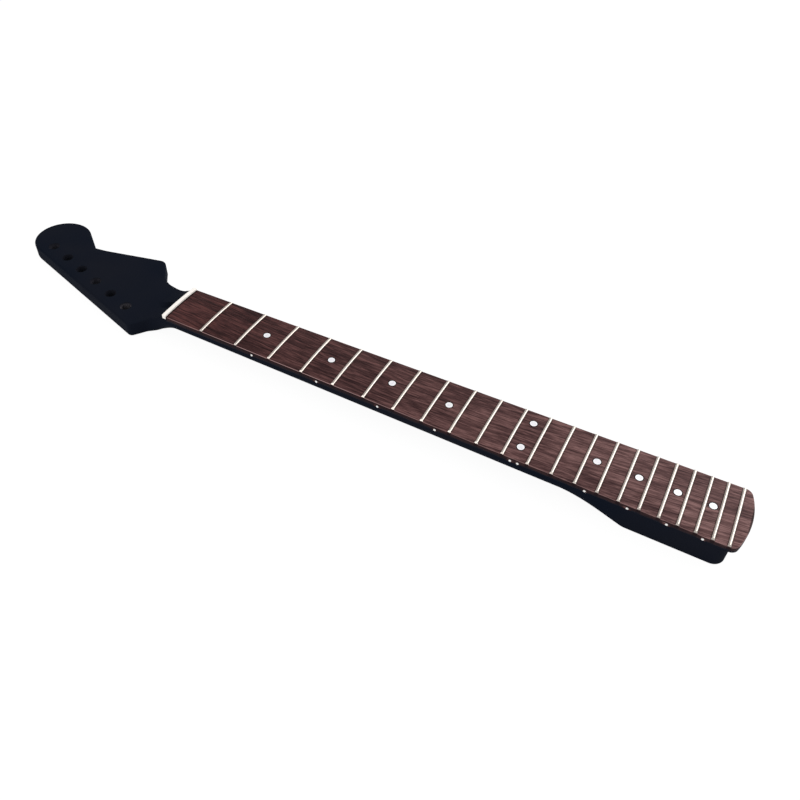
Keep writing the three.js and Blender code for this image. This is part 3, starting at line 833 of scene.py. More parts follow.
def back_shape(x):
    share = (x - fret_place(1)) / (fret_place(12) - fret_place(1))
    depth = blend(depth_at_first_fret, depth_at_twelfth_fret, share)
    power = blend(nut_end_power, octave_power, np.clip(share, 0, 1))
    to_heel = np.clip((x - heel_blend_start) / heel_blend_length, 0, 1) ** heel_hollow_power
    to_heel = 1 - (1 - to_heel) ** heel_arrival_power
    to_throat = smooth((throat_blend_start - x) / (throat_blend_start - throat_blend_end))
    exponent = blend(blend(2 / power, 2 / heel_power, to_heel), 2 / throat_power, to_throat)
    back = (board_top - depth) * (1 - to_heel) * (1 - to_throat)
    return exponent, back


def soft_section(x, side):
    exponent, back = back_shape(x)
    power = 2 / exponent
    wide = bass_half(x) if side < 0 else treble_half(x)
    land = glue_height - back_land
    tall = land - back
    ratio = (np.tan(facing[1:-1]) * tall / wide) ** (power / (2 * (power - 1)))
    turn = np.concatenate([[0], np.arctan(ratio), [math.pi / 2]])
    across = wide * np.cos(turn).clip(0, 1) ** exponent
    across[-1] = 0
    down = tall * np.sin(turn) ** exponent
    return np.column_stack([np.full(back_rows, x), side * across, land - down])


print("heel's run-in from", round(heel_blend_start, 1), "to", round(heel_flat_start, 1))

# %% [markdown]
# At both ends the section is a straight wall with a rounded lower edge. The treble throat is rounded
# by hand so that it sits well in the palm: its lower edge has the largest round, which fades out
# towards the horn.

# %% Square sections of headstock and heel
square_head_start = -10
heel_square_run = 12
heel_square_end = heel_flat_start + heel_square_run / 2
throat_round = 9
throat_round_end = -62


def square_share(x):
    to_head = smooth((square_head_start - x) / (square_head_start - ramp_foot))
    to_heel = smooth((x - heel_flat_start + heel_square_run / 2) / heel_square_run)
    return to_head, to_heel


def back_round(point):
    share = smooth((point[0] - throat_round_end) / (ramp_foot - throat_round_end))
    return blend(edge_round, throat_round, share) if point[1] > 0 else edge_round


def square_section(point, inward, radius):
    step = radius * (1 - np.cos(facing))
    rise = radius * (1 - np.sin(facing))
    return np.column_stack([point[0] + inward[0] * step, point[1] + inward[1] * step, rise])


print("treble throat round", throat_round, "fades out at", throat_round_end)

# %% [markdown]
# The top edge of the headstock is rounded by 2 mm. The rounding follows the ramp up behind the nut and
# fades to a light break at the ledge. Above the glue line the ramp belongs to the fingerboard's tail,
# so both pieces use these functions and meet without a step.

# %% Sections of the top
top_rows = 9
top_facing = np.radians(np.linspace(0, 90, top_rows))
smallest_radius = 1e-6


def ramp_height(x):
    into = np.clip(x - ramp_foot, 0, None)
    arc_height = headstock_thickness + ramp_radius - np.sqrt(
        np.clip(ramp_radius ** 2 - into ** 2, 0, None))
    return np.where(x >= ledge_end, ledge_top, np.minimum(arc_height, ledge_top))


def top_radius(x):
    return blend(edge_round, ledge_round, smooth((x - ramp_foot) / (ledge_end - ramp_foot)))


def top_section(point, inward, tall, radius, ceiling):
    rise = np.clip(tall - radius * (1 - np.sin(top_facing)), 0, ceiling)
    sine = np.clip((rise - tall + radius) / max(radius, smallest_radius), 0, 1)
    step = radius * (1 - np.sqrt(1 - sine ** 2))
    return np.column_stack([point[0] + inward[0] * step, point[1] + inward[1] * step, rise])


def neck_top(point, inward):
    x = point[0]
    if x >= nut_back:
        return np.tile([point[0], point[1], glue_height], (top_rows, 1))
    section = top_section(point, inward, ramp_height(x), top_radius(x), glue_height)
    section[:, 2] = np.minimum(section[:, 2], ramp_height(section[:, 0]))
    return section


tail_start = ramp_foot + math.sqrt(
    ramp_radius ** 2 - (ramp_radius + headstock_thickness - glue_height) ** 2)
print("the fingerboard's tail starts", round(tail_start, 2))

# %% [markdown]
# The neck's skin is a row of columns that goes once round the outline. Each column climbs from the
# back, over the rounded edges, to the top. Between throat and heel the columns also reach the centre
# line.

# %% Columns of the neck's skin
heel_corner_radius = 9
heel_join_gap = 0.5
heel_join = heel_reach - heel_corner_radius - heel_join_gap
shaft_start = throat_blend_start + 4
station_legs = (
    (join, nut_back, 48),
    (nut_back, shaft_start, 24),
    (shaft_start, heel_blend_start, 48),
    (heel_blend_start, heel_square_end, 66),
    (heel_square_end, heel_join, 10),
)
stations = np.unique(np.round(np.concatenate([np.linspace(*leg) for leg in station_legs]), 5))


def side_column(x, side):
    wide = bass_half if side < 0 else treble_half
    small = 0.01
    slope = (wide(x + small) - wide(x - small)) / (2 * small)
    inward = np.array([slope, -side]) / math.hypot(slope, 1)
    point = np.array([x, side * wide(x)])
    to_head, to_heel = square_share(x)
    radius = back_round(point) if to_head > 0 else heel_edge_round
    square = square_section(point, inward, radius)
    lower = blend(soft_section(x, side), square, max(to_head, to_heel))
    return np.vstack([lower[::-1], neck_top(point, inward)])


def rim_column(point, inward, radius, tall, top_round):
    lower = square_section(point, inward, radius)
    return np.vstack([lower[::-1], top_section(point, inward, tall, top_round, tall)])


def heel_rim():
    centre_x = heel_reach - heel_corner_radius
    wide = half_width(centre_x) - heel_corner_radius
    bass = arc((centre_x, -wide), heel_corner_radius, -90, 0)
    return bass + arc((centre_x, wide), heel_corner_radius, 0, 90)


def neck_columns():
    bass = [side_column(x, -1) for x in stations[::-1]]
    head = [rim_column(point, inward, back_round(point), headstock_thickness, edge_round)
            for point, inward in headstock_rim()[::-1]]
    treble = [side_column(x, 1) for x in stations]
    heel = [rim_column(point, inward, heel_edge_round, glue_height, 0)
            for point, inward in heel_rim()[::-1]]
    return bass, head, treble, heel


print("stations along the neck", len(stations))

# %% [markdown]
# Faces join each column to the next, and the last to the first. Two more rows of points lie on the
# centre line, one on the back and one on the top, and the shaft's columns are joined to them. The flat
# faces of headstock and heel are two polygons each, one below and one above.

# %% The neck's blank
neck_finishes = [lacquer, sprayed_wall, maple, bare_wall, dusted_wall]


def centre_line():
    backs = np.array([back_shape(x)[1] for x in stations])
    tops = np.where(stations >= nut_back, glue_height, np.minimum(ramp_height(stations), glue_height))
    zeros = np.zeros(len(stations))
    return np.column_stack([stations, zeros, backs]), np.column_stack([stations, zeros, tops])


def neck_blank():
    bass, head, treble, heel = neck_columns()
    columns = bass + head + treble + heel
    count, rows = len(columns), len(columns[0])
    bass_last = len(bass) - 1
    treble_first = len(bass + head)
    heel_first = len(bass + head + treble)
    low_spine, high_spine = centre_line()
    low_first = count * rows
    high_first = low_first + len(stations)
    faces = []
    for column in range(count):
        after = (column + 1) % count
        for row in range(rows - 1):
            here, there = column * rows + row, after * rows + row
            faces.append((here, there, there + 1, here + 1))
    last = len(stations) - 1
    for step in range(last):
        for first, direction in ((bass_last, -1), (treble_first, 1)):
            here = (first + direction * step) * rows
            there = here + direction * rows
            faces.append((here, there, low_first + step + 1, low_first + step))
            faces.append((here + rows - 1, high_first + step, high_first + step + 1, there + rows - 1))
    head_loop = list(range(bass_last, treble_first + 1))
    heel_loop = list(range(heel_first - 1, count)) + [0]
    for loop, station in ((head_loop, 0), (heel_loop, last)):
        faces.append([column * rows for column in loop] + [low_first + station])
        faces.append([column * rows + rows - 1 for column in loop] + [high_first + station])
    points = np.vstack([*columns, low_spine, high_spine])
    return make_piece("neck_shell", points, faces, neck_finishes)


neck = neck_blank()
report(neck)

# %% [markdown]
# Holes and channels are cut as on the bench, drill first. Six tuner holes go through the headstock in a
# straight line, parallel to its bass edge. A cutter flares where it leaves the wood, so the cut itself
# rounds the hole's rim, which saves a bevel on an edge that a boolean made.

# %% Tuner holes
tuner_facets = 64
tuner_diameter = 10
tuner_pitch = 24.5
tuner_inset = 12.4
first_tuner_back = 49
tuner_count = 6
rim_round = 0.35
rim_steps = 6
rim_turn = 80
flare_wall = 0.3
flare_lip = 0.05
overrun = 2


def mouth(radius, surface, up):
    outside = radius + rim_round + flare_wall
    profile = []
    for angle in np.radians(np.linspace(0, rim_turn, rim_steps)):
        out, deep = rim_round * (1 - math.cos(angle)), rim_round * (1 - math.sin(angle))
        profile.append((radius + out, surface - up * deep))
    return profile + [(outside, surface + up * flare_lip), (outside, surface + up * overrun)]


def tuner_place(number):
    first_x = -first_tuner_back
    first = np.array([first_x, bass_edge_side(first_x) + tuner_inset / bass_way[0]])
    return first - bass_way * tuner_pitch * number


tuner_radius = tuner_diameter / 2
tuner_profile = mouth(tuner_radius, 0, -1)[::-1] + mouth(tuner_radius, headstock_thickness, 1)
for number in range(tuner_count):
    cut(neck, turned("tuner", tuner_profile, tuner_facets, (*tuner_place(number), 0)))
report(neck)

# %% [markdown]
# Four screws hold the neck to the body, so the heel has four blind pilot holes at the corners of a
# rectangle. They end in the cone that a drill's point leaves.

# %% Pilot holes in the heel
pilot_facets = 24
pilot_diameter = 3
pilot_depth = 16
pilot_point_radius = 0.05
screw_pitch_along = 50.8
screw_pitch_across = 38.1

pilot_radius = pilot_diameter / 2
pilot_profile = mouth(pilot_radius, 0, -1)[::-1]
pilot_profile += [(pilot_radius, pilot_depth), (pilot_point_radius, pilot_depth + pilot_radius)]
for along in (-1, 1):
    for across in (-1, 1):
        x = -nut_front + along * screw_pitch_along / 2
        y = across * screw_pitch_across / 2
        cut(neck, turned("pilot", pilot_profile, pilot_facets, (x, y, 0)))
report(neck)

# %% [markdown]
# Then the router: the truss rod's channel with a wider pocket for its adjusting nut, and the sloping
# trough behind the nut bar, through which the key reaches it. The trough's cutter is a rod with round
# ends, tilted so that it sinks towards the adjusting nut. The cutters overlap a little, because cuts
# that only touch would leave a thin wall.

# %% Channel, pocket and key trough
running_gap = 0.3
rod_gap = 0.1
wall_overlap = 0.01
cut_overlap = 1
trough_width = 9
trough_length = 32
trough_angle = 15
trough_facets = 64
cap_first_angle = 2
cap_steps = 14

rod_axis = middle("truss_rod_screw")[2]
adjuster_low, adjuster_high = low("truss_rod_adjuster"), high("truss_rod_adjuster")
pocket_width = adjuster_high[1] - adjuster_low[1] + 2 * running_gap
pocket_end = adjuster_high[0] + running_gap
channel_floor = low("truss_rod_front_block")[2]
channel_half = high("truss_rod_front_block")[1] + rod_gap
channel_end = high("truss_rod_rear_block")[0] + running_gap


def trough_cutter():
    radius = trough_width / 2
    angles = np.radians(np.linspace(cap_first_angle, 90, cap_steps))
    start_cap = [(radius * math.sin(a), -trough_length - radius * math.cos(a)) for a in angles]
    end_cap = [(across, -trough_length - along) for across, along in start_cap[::-1]]
    piece = turned("trough", start_cap + end_cap[1:], trough_facets, (0, 0, 0), axis="x")
    tilt = math.radians(trough_angle)
    for vertex in piece.data.vertices:
        x = vertex.co.x - nut_front * millimetre
        z = vertex.co.z
        vertex.co.x = (nut_front + nut_back) * millimetre + x * math.cos(tilt) + z * math.sin(tilt)
        vertex.co.z = rod_axis * millimetre - x * math.sin(tilt) + z * math.cos(tilt)
    return piece


pocket_profile = [(pocket_width / 2, nut_back - wall_overlap), (pocket_width / 2, pocket_end)]
cut(neck, trough_cutter())
cut(neck, turned("pocket", pocket_profile, trough_facets, (0, 0, rod_axis), axis="x"))
cut(neck, block("pocket_top", (nut_back - wall_overlap / 2, -pocket_width / 2, rod_axis),
                (pocket_end, pocket_width / 2, glue_height + overrun)))
cut(neck, block("slot", (pocket_end - cut_overlap, -channel_half, channel_floor - rod_gap),
                (channel_end, channel_half, glue_height + overrun)))
report(neck)

# %% [markdown]
# The boolean cuts leave plain faces, so each face now gets its finish by where it lies: the walls of
# the tuner holes, the bare maple of the channel and the glue line, and lacquer everywhere else.
# Seen from the nut, the first tuner hole is bare, and the film comes and goes along the row.

# %% Finish of each face of the neck
hole_walls = (bare_wall, sprayed_wall, dusted_wall, sprayed_wall, sprayed_wall, dusted_wall)
near_surface = 0.05
near_glue_line = 0.02
channel_depth_below_block = 2.2
facing_up = 0.9
facing_sideways = 0.5


def in_channel(x, y, z):
    along = nut_back < x < channel_end + cut_overlap
    across = abs(y) < pocket_width / 2 + near_surface
    return along and across and channel_floor - channel_depth_below_block < z < glue_height


def finish_neck_faces():
    tuners = np.array([tuner_place(number) for number in range(tuner_count)])
    for face in neck.data.polygons:
        x, y, z = np.array(face.center) / millimetre - [nut_front, 0, 0]
        distances = np.linalg.norm(tuners - [x, y], axis=1)
        on_glue_line = x > nut_back and z > glue_height - near_glue_line and face.normal.z > facing_up
        coat = lacquer
        if distances.min() < tuner_radius + near_surface and abs(face.normal.z) < facing_sideways:
            coat = hole_walls[distances.argmin()]
        elif on_glue_line or in_channel(x, y, z):
            coat = maple
        face.material_index = neck_finishes.index(coat)


finish_neck_faces()
shade(neck)
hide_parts("neck")
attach(neck, body)
report(neck)

# %% [markdown]
# The fingerboard is a tapered plank with a crowned top and rolled edges. Its end, past the heel, is a
# shallow arc with rounded corners. The points of that end also say how the rows along the board are
# spaced across it, so that the rows run into the end without a kink.

# %% The fingerboard's end
board_corner_radius = 6
board_end_radius = 77
edge_roll = 0.9
across_corner = 10
across_crown = 22
patch_length = 3


def end_rim():
    end_half = half_width(board_reach)
    centre = np.array([board_reach - board_end_radius, 0.0])
    crown_angle = math.asin(end_half / board_end_radius)
    corner = centre + board_end_radius * np.array([math.cos(crown_angle), -math.sin(crown_angle)])
    before = np.array([heel_flat_start, -half_width(heel_flat_start)])
    ahead_angle = board_corner_radius / board_end_radius - crown_angle
    ahead = centre + board_end_radius * np.array([math.cos(ahead_angle), math.sin(ahead_angle)])
    bass_arc = rounded_corner(before, corner, ahead, board_corner_radius)
    picks = np.linspace(0, len(bass_arc) - 1, across_corner + 1).round().astype(int)
    bass_arc = [bass_arc[pick] for pick in picks]
    reach = abs(bass_arc[-1][0][1])
    reach_angle = math.degrees(math.asin(reach / board_end_radius))
    angles = np.radians(np.linspace(-reach_angle, reach_angle, across_crown + 1))[1:-1]
    spokes = np.column_stack([np.cos(angles), np.sin(angles)])
    crown = [(centre + board_end_radius * spoke, -spoke) for spoke in spokes]
    mirror = np.array([1, -1])
    treble_arc = [(point * mirror, inward * mirror) for point, inward in bass_arc[::-1]]
    return bass_arc + crown + treble_arc


rim_of_end = end_rim()
corner_start = rim_of_end[0][0][0]
across_count = len(rim_of_end)
end_shares = np.array([(point + inward * edge_roll)[1] for point, inward in rim_of_end])
end_shares = end_shares / end_shares[-1]
print("board end corner starts", round(corner_start, 2), "rows across", across_count)

# %% [markdown]
# The top of the board is one sheet of points, from the tail behind the nut, over the nut's seat and
# along the crowned playing face, to the rounded end. Each row is drawn by what it belongs to.

# %% The fingerboard's sheet
nut_slot_depth = 3
nut_seat = board_top - nut_slot_depth
tail_rows = 26
face_rows = 120
patch_steps = 8
tail_gap = 0.04


def board_stations():
    tail = [(x, "tail") for x in np.linspace(tail_start + tail_gap, nut_back, tail_rows)]
    face = [(x, "board") for x in np.linspace(0, corner_start - patch_length, face_rows)]
    return tail + [(nut_back, "seat"), (0, "seat")] + face


def sheet_row(x, kind):
    inset = {"tail": float(top_radius(x)), "seat": 0.0, "board": edge_roll}[kind]
    halves = np.where(end_shares < 0, bass_half(x) - inset, treble_half(x) - inset)
    across = end_shares * halves
    if kind == "board":
        up = board_top - crown_drop(across)
    else:
        up = np.full(across_count, nut_seat if kind == "seat" else float(ramp_height(x)))
    return np.column_stack([np.full(across_count, x), across, up]), inset


def board_sheet():
    rows, insets, kinds = [], [], []
    for x, kind in board_stations():
        row, inset = sheet_row(x, kind)
        rows.append(row)
        insets.append(inset)
        kinds.append(kind)
    start_row = rows[-1]
    end_row = np.array([[*(point + inward * edge_roll), 0] for point, inward in rim_of_end])
    for step in range(1, patch_steps + 1):
        row = blend(start_row, end_row, step / patch_steps)
        row[:, 2] = board_top - crown_drop(row[:, 1])
        rows.append(row)
        insets.append(edge_roll)
        kinds.append("board")
    return np.array(rows), insets, kinds


print("nut seat", round(nut_seat, 2), "rows along", len(board_stations()) + patch_steps)

# %% [markdown]
# Every point on the sheet's rim drops a short column over the rolled edge and down the side. Two rows
# of that column lie where the black spray thins out. Each row has its own share of painted side shade
# and spray, and the rows on the rolled edge carry the painted highlight.

# %% The fingerboard's side
paint_line = 20
paint_fade = 1.5
roll_steps = 7
# shares of painted side shade and of black spray, row by row down the side
shade_and_spray_by_row = (0.0, 0.0, 0.0, 0.0, 0.35, 0.65, 0.75, 0.85, 1.0, 1.0)
# rows of the rolled edge that carry the painted highlight
highlight_rows = (2, 3)


def rim_drop(inner, inward, radius):
    rows = []
    for angle in np.radians(np.linspace(90, 0, roll_steps)):
        rise = inner[2] - radius * (1 - math.sin(angle))
        step = radius * math.cos(angle)
        if rise < glue_height and radius > 0:
            rise = glue_height
            sine = np.clip(1 - (inner[2] - glue_height) / radius, 0, 1)
            step = radius * math.sqrt(1 - sine ** 2)
        rows.append((inner[0] - inward[0] * step, inner[1] - inward[1] * step, rise))
    x, y, wall_top = rows[-1]
    lines = (min(wall_top, paint_line + paint_fade), min(wall_top, paint_line), glue_height)
    return rows + [(x, y, line) for line in lines]


def board_rim(along, across, kinds):
    bass = [(a, 0, (0, 1), kinds[a]) for a in range(along)]
    end = [(along - 1, i, rim_of_end[i][1], "board") for i in range(1, across)]
    treble = [(a, across - 1, (0, -1), kinds[a]) for a in range(along - 2, -1, -1)]
    tip = [(0, i, (1, 0), "tip") for i in range(across - 2, 0, -1)]
    return bass + end + treble + tip


print("black spray ends", paint_fade, "mm above", paint_line)

# %% [markdown]
# Now the skin of the board is closed: the sheet on top, the columns down the sides, and one polygon
# under the whole board. Each face is marked as wood or as painted while it is made, because that is
# when it is known where it lies. The tail behind the nut and the nut's seat are black like the neck.

# %% The fingerboard's blank
board_finishes = [rosewood, lacquer]
wood, painted = 0, 1


def board_blank():
    sheet, insets, kinds_along = board_sheet()
    along, across = sheet.shape[:2]
    rows = len(shade_and_spray_by_row)
    points = sheet.reshape(-1, 3).tolist()
    first_column = len(points)
    painted_highlight, shade_and_spray = [0.0] * first_column, [0.0] * first_column
    faces, kinds = [], []
    for a in range(along - 1):
        for i in range(across - 1):
            here, there = a * across + i, (a + 1) * across + i
            faces.append((here, there, there + 1, here + 1))
            kinds.append(wood if kinds_along[a] == "board" else painted)
    rim = board_rim(along, across, kinds_along)
    for a, i, inward, kind in rim:
        radius = 0.0 if kind == "tip" else insets[a]
        points += rim_drop(sheet[a, i], np.array(inward, float), radius)
        # the rows on the rolled edge carry the painted highlight
        painted_highlight += [1.0 if kind == "board" and row in highlight_rows else 0.0 for row in range(rows)]
        shade_and_spray += shade_and_spray_by_row
    for column in range(len(rim)):
        after = (column + 1) % len(rim)
        bare = rim[column][3] == "board" and rim[after][3] == "board"
        for row in range(rows - 1):
            here, there = first_column + column * rows + row, first_column + after * rows + row
            faces.append((here, here + 1, there + 1, there))
            kinds.append(wood if bare and row < rows - 2 else painted)
    faces.append([first_column + column * rows + rows - 1 for column in range(len(rim))])
    kinds.append(painted)
    return make_piece("fingerboard_plank", points, faces, board_finishes, kinds,
                      {"edge_highlight": painted_highlight, "side_shade_and_spray": shade_and_spray}, dissolve=False)


fingerboard = board_blank()
report(fingerboard)

# %% [markdown]
# Frets sit in narrow slots and dots in round pockets, so those are cut next. All cutters of a kind go
# into one mesh of separate closed shells, and one boolean cuts them at once.

# %% Slots and pockets
slot_width = 0.6
slot_depth = 2
slot_end_cover = 1
dot_facets = 48
side_dot_facets = 32
dot_nodes = sorted(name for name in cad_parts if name.startswith("dot_"))
side_dot_nodes = sorted(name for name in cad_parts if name.startswith("side_dot_"))


def join_meshes(name, pieces):
    shaped = bmesh.new()
    for piece in pieces:
        shaped.from_mesh(piece.data)
        bpy.data.objects.remove(piece)
    mesh = bpy.data.meshes.new(name)
    shaped.to_mesh(mesh)
    shaped.free()
    return add_to_scene(name, mesh)


def slot_cutter(number):
    x = fret_place(number)
    reach = half_width(x) - slot_end_cover
    floor = board_top - float(crown_drop(reach)) - slot_depth
    return block("slot", (x - slot_width / 2, -reach, floor),
                 (x + slot_width / 2, reach, board_top + overrun))


def pocket_cutter(name):
    x, y, _ = middle(name)
    radius = radius_of(name) + seat_gap
    profile = [(radius, low(name)[2] - seat_gap), (radius, board_top + overrun)]
    return turned("pocket", profile, dot_facets, (x, y, 0))


def side_pocket_cutter(name):
    x, _, z = middle(name)
    radius = radius_of(name) + seat_gap
    profile = [(radius, low(name)[1] - overrun), (radius, high(name)[1] + seat_gap)]
    return turned("side", profile, side_dot_facets, (x, 0, z), axis="y")


cut(fingerboard, join_meshes("slots", [slot_cutter(n + 1) for n in range(fret_count)]))
cut(fingerboard, join_meshes("pockets", [pocket_cutter(n) for n in dot_nodes]))
cut(fingerboard, join_meshes("side_pockets", [side_pocket_cutter(n) for n in side_dot_nodes]))
shade(fingerboard)
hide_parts("fingerboard")
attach(fingerboard, body)
report(fingerboard)

# %% [markdown]
# Fret wire repeats twenty-two times by one rule, which is work for Geometry Nodes, and so are the
# dots. A tree gets one named input for each size, and the modifier's inputs are set by the sockets'
# identifiers. Each tree ends by making its copies real and giving them their material.
# The crown of the board lowers a point by how far it lies from the middle, as in crown_drop.

# %% Geometry Nodes helpers


def new_tree(name, sizes):
    tree = bpy.data.node_groups.new(name, "GeometryNodeTree")
    tree.interface.new_socket("Geometry", in_out="INPUT", socket_type="NodeSocketGeometry")
    for label, value in sizes.items():
        kind = "NodeSocketInt" if isinstance(value, int) else "NodeSocketFloat"
        socket = tree.interface.new_socket(label, in_out="INPUT", socket_type=kind)
        socket.default_value = value
    tree.interface.new_socket("Material", in_out="INPUT", socket_type="NodeSocketMaterial")
    tree.interface.new_socket("Geometry", in_out="OUTPUT", socket_type="NodeSocketGeometry")
    source = tree.nodes.new("NodeGroupInput")
    given = {socket.name: Signal(tree, socket) for socket in source.outputs if socket.name}
    return tree, given


def close_tree(tree, geometry, material):
    realized = node(tree, "GeometryNodeRealizeInstances", Geometry=geometry)
    smooth_faces = node(tree, "GeometryNodeSetShadeSmooth", Geometry=realized)
    finished = node(tree, "GeometryNodeSetMaterial", Geometry=smooth_faces, Material=material)
    output = tree.nodes.new("NodeGroupOutput")
    plug(tree, finished, output.inputs["Geometry"])


def run_tree(name, tree, sizes, material, places=()):
    mesh = bpy.data.meshes.new(name)
    mesh.from_pydata([[value * millimetre for value in place] for place in places], [], [])
    piece = add_to_scene(name, mesh)
    modifier = piece.modifiers.new("nodes", "NODES")
    modifier.node_group = tree
    values = {**sizes, "Material": material}
    for item in tree.interface.items_tree:
        if item.in_out == "INPUT" and item.name in values:
            modifier[item.identifier] = values[item.name]
    bpy.context.view_layer.update()
    apply_modifiers(piece)
    return piece


def crown_lowering(y, radius):
    return radius - (radius * radius - y * y).math("SQRT")


print("the crown falls", round(float(crown_drop(nut_width / 2)), 2), "mm by the nut's ends")

# %% [markdown]
# The tree makes one straight piece of wire of unit length, an upper half round with a tang below, and
# sets a copy on each of the fret's points. Then it bends all copies at once: the rule of the twelfth
# root of two gives the place, the taper gives the length, and the board's radius gives the crown.
# The higher a point lies, the shorter its wire, which files the bevel on the ends.

# %% The fret tree
crown_height = 1.15
tang_width = 0.5
tang_depth = 1.8
fret_bevel_angle = 35
fret_facets = 28
fret_steps = 32
tang_height_share = 1.2
tang_sink_share = -0.4
below_board = -0.00001


def wire_blank(tree, given):
    wire = node(tree, "GeometryNodeMeshCylinder", Vertices=fret_facets, Side_Segments=fret_steps,
                Radius=1.0, Depth=2.0)
    wire = node(tree, "GeometryNodeTransform", Geometry=wire, Rotation=(math.pi / 2, 0, 0))
    x, y, z = separate(tree, node(tree, "GeometryNodeInputPosition"))
    crown_shape = combine(tree, x * given["Crown Width"] * 0.5, y,
                          z.math("MAXIMUM", 0) * given["Crown Height"])
    wire = node(tree, "GeometryNodeSetPosition", Geometry=wire, Position=crown_shape)
    tang_size = combine(tree, given["Tang Width"], 2, given["Tang Depth"] * tang_height_share)
    tang = node(tree, "GeometryNodeMeshCube", Size=tang_size, Vertices_Y=fret_steps + 1)
    tang = node(tree, "GeometryNodeTransform", Geometry=tang,
                Translation=combine(tree, 0, 0, given["Tang Depth"] * tang_sink_share))
    joined = tree.nodes.new("GeometryNodeMeshBoolean")
    joined.operation = "UNION"
    joined.solver = "EXACT"
    tree.links.new(wire.socket, joined.inputs[1])
    tree.links.new(tang.socket, joined.inputs[1])
    return Signal(tree, joined.outputs[0])


def fret_tree(sizes):
    tree, given = new_tree("fret wires", sizes)
    index = node(tree, "GeometryNodeInputIndex")
    numbers = node(tree, "GeometryNodePoints", Count=given["Fret Count"], Position=(0, 0, 0))
    left = formula(tree, "POWER", 2, (index + 1) / -frets_per_octave)
    place = given["Nut Place"] + given["String Length"] * (1 - left)
    marked = node(tree, "GeometryNodeStoreNamedAttribute", {"data_type": "FLOAT", "domain": "POINT"},
                  Geometry=numbers, Name="fret_place", Value=place)
    wires = node(tree, "GeometryNodeInstanceOnPoints", Points=marked, Instance=wire_blank(tree, given))
    wires = node(tree, "GeometryNodeRealizeInstances", Geometry=wires)
    kept = node(tree, "GeometryNodeInputNamedAttribute", {"data_type": "FLOAT"}, Name="fret_place")
    along, share, up = separate(tree, node(tree, "GeometryNodeInputPosition"))
    half = given["Nut Half Width"] + given["Widening"] * (kept - given["Nut Place"])
    raised = up.math("MAXIMUM", 0)
    sunk = up.math("LESS_THAN", below_board)
    reach = half - given["End Inset"] - raised * given["Bevel Slope"] - sunk * given["Tang Inset"]
    side = share * reach
    drop = crown_lowering(side, given["Board Radius"])
    bent = combine(tree, kept + along, side, given["Board Top"] - drop + up)
    wires = node(tree, "GeometryNodeSetPosition", Geometry=wires, Position=bent)
    close_tree(tree, wires, given["Material"])
    return tree


print("wire section", crown_width, "by", crown_height, "mm, bevel", fret_bevel_angle, "degrees")

# %% [markdown]
# The frets are nickel silver wire, pressed into the slots and filed at the ends. The tree gets all its
# sizes by name, in metres, so another neck would need other numbers here and no change to the tree.

# %% Fret wires
fret_sizes = {
    "Fret Count": fret_count,
    "String Length": string_length * millimetre,
    "Nut Place": nut_front * millimetre,
    "Nut Half Width": nut_width / 2 * millimetre,
    "Widening": (heel_width - nut_width) / 2 / heel_reach,
    "Board Top": (board_top + seat_gap) * millimetre,
    "Board Radius": board_radius * millimetre,
    "Crown Width": crown_width * millimetre,
    "Crown Height": crown_height * millimetre,
    "Tang Width": tang_width * millimetre,
    "Tang Depth": tang_depth * millimetre,
    "Bevel Slope": math.tan(math.radians(fret_bevel_angle)),
    "End Inset": edge_roll / 2 * millimetre,
    "Tang Inset": (slot_end_cover + seat_gap - edge_roll / 2) * millimetre,
}
fret_wires = run_tree("fret_wires", fret_tree(fret_sizes), fret_sizes, nickel_silver)
shade(fret_wires, angle=40)
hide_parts(*[f"fret_{n + 1:02d}" for n in range(fret_count)])
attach(fret_wires, body)
report(fret_wires)

# %% [markdown]
# The nut is a bar of warm white, an uncut blank: square below, with a crowned top and broken edges.
# One section is carried across the neck, and the last few sections sink along a quarter circle, which
# rounds the two ends as well.

# %% The nut
nut_front_rise = 1.6
nut_back_rise = 1.5
nut_round = 0.3
nut_steps = 24
nut_round_steps = 5


def nut_corner(centre_x, centre_up, start):
    angles = np.radians(np.linspace(start, start - 90, nut_round_steps))
    return [(centre_x + nut_round * math.cos(a), centre_up + nut_round * math.sin(a)) for a in angles]


def make_nut():
    front, back = -seat_gap, nut_back + seat_gap
    seat = nut_seat + seat_gap
    section = nut_corner(back + nut_round, nut_back_rise - nut_round, 180)
    section += nut_corner(front - nut_round, nut_front_rise - nut_round, 90)
    half = high("nut")[1]
    turn = np.radians(np.linspace(0, 90, nut_round_steps))
    ends = [(half - nut_round * (1 - math.cos(t)), nut_round * (1 - math.sin(t))) for t in turn]
    inner = [(side, 0) for side in np.linspace(half - nut_round, nut_round - half, nut_steps + 1)[1:-1]]
    sides = ends + inner + [(-side, drop) for side, drop in ends[::-1]]
    points = []
    for side, drop in sides:
        top = board_top - float(crown_drop(side)) - drop
        points += [(front, side, seat), (back, side, seat)]
        points += [(x, side, top + up) for x, up in section]
    return make_piece("nut_bar", points, tube_faces(len(section) + 2, len(sides)), [nut_white])


nut = make_nut()
shade(nut, angle=50)
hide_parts("nut")
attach(nut, body)
report(nut)

# %% [markdown]
# Dots are pearl discs set flush with the board and white plastic rods in its side. One tree serves
# both: it puts a short turned disc with a fine chamfer on every point it is given. The face dots are
# lowered to the board's crown, the side dots lie on their side and stay where they are.

# %% The dot tree
near_rim = 0.999


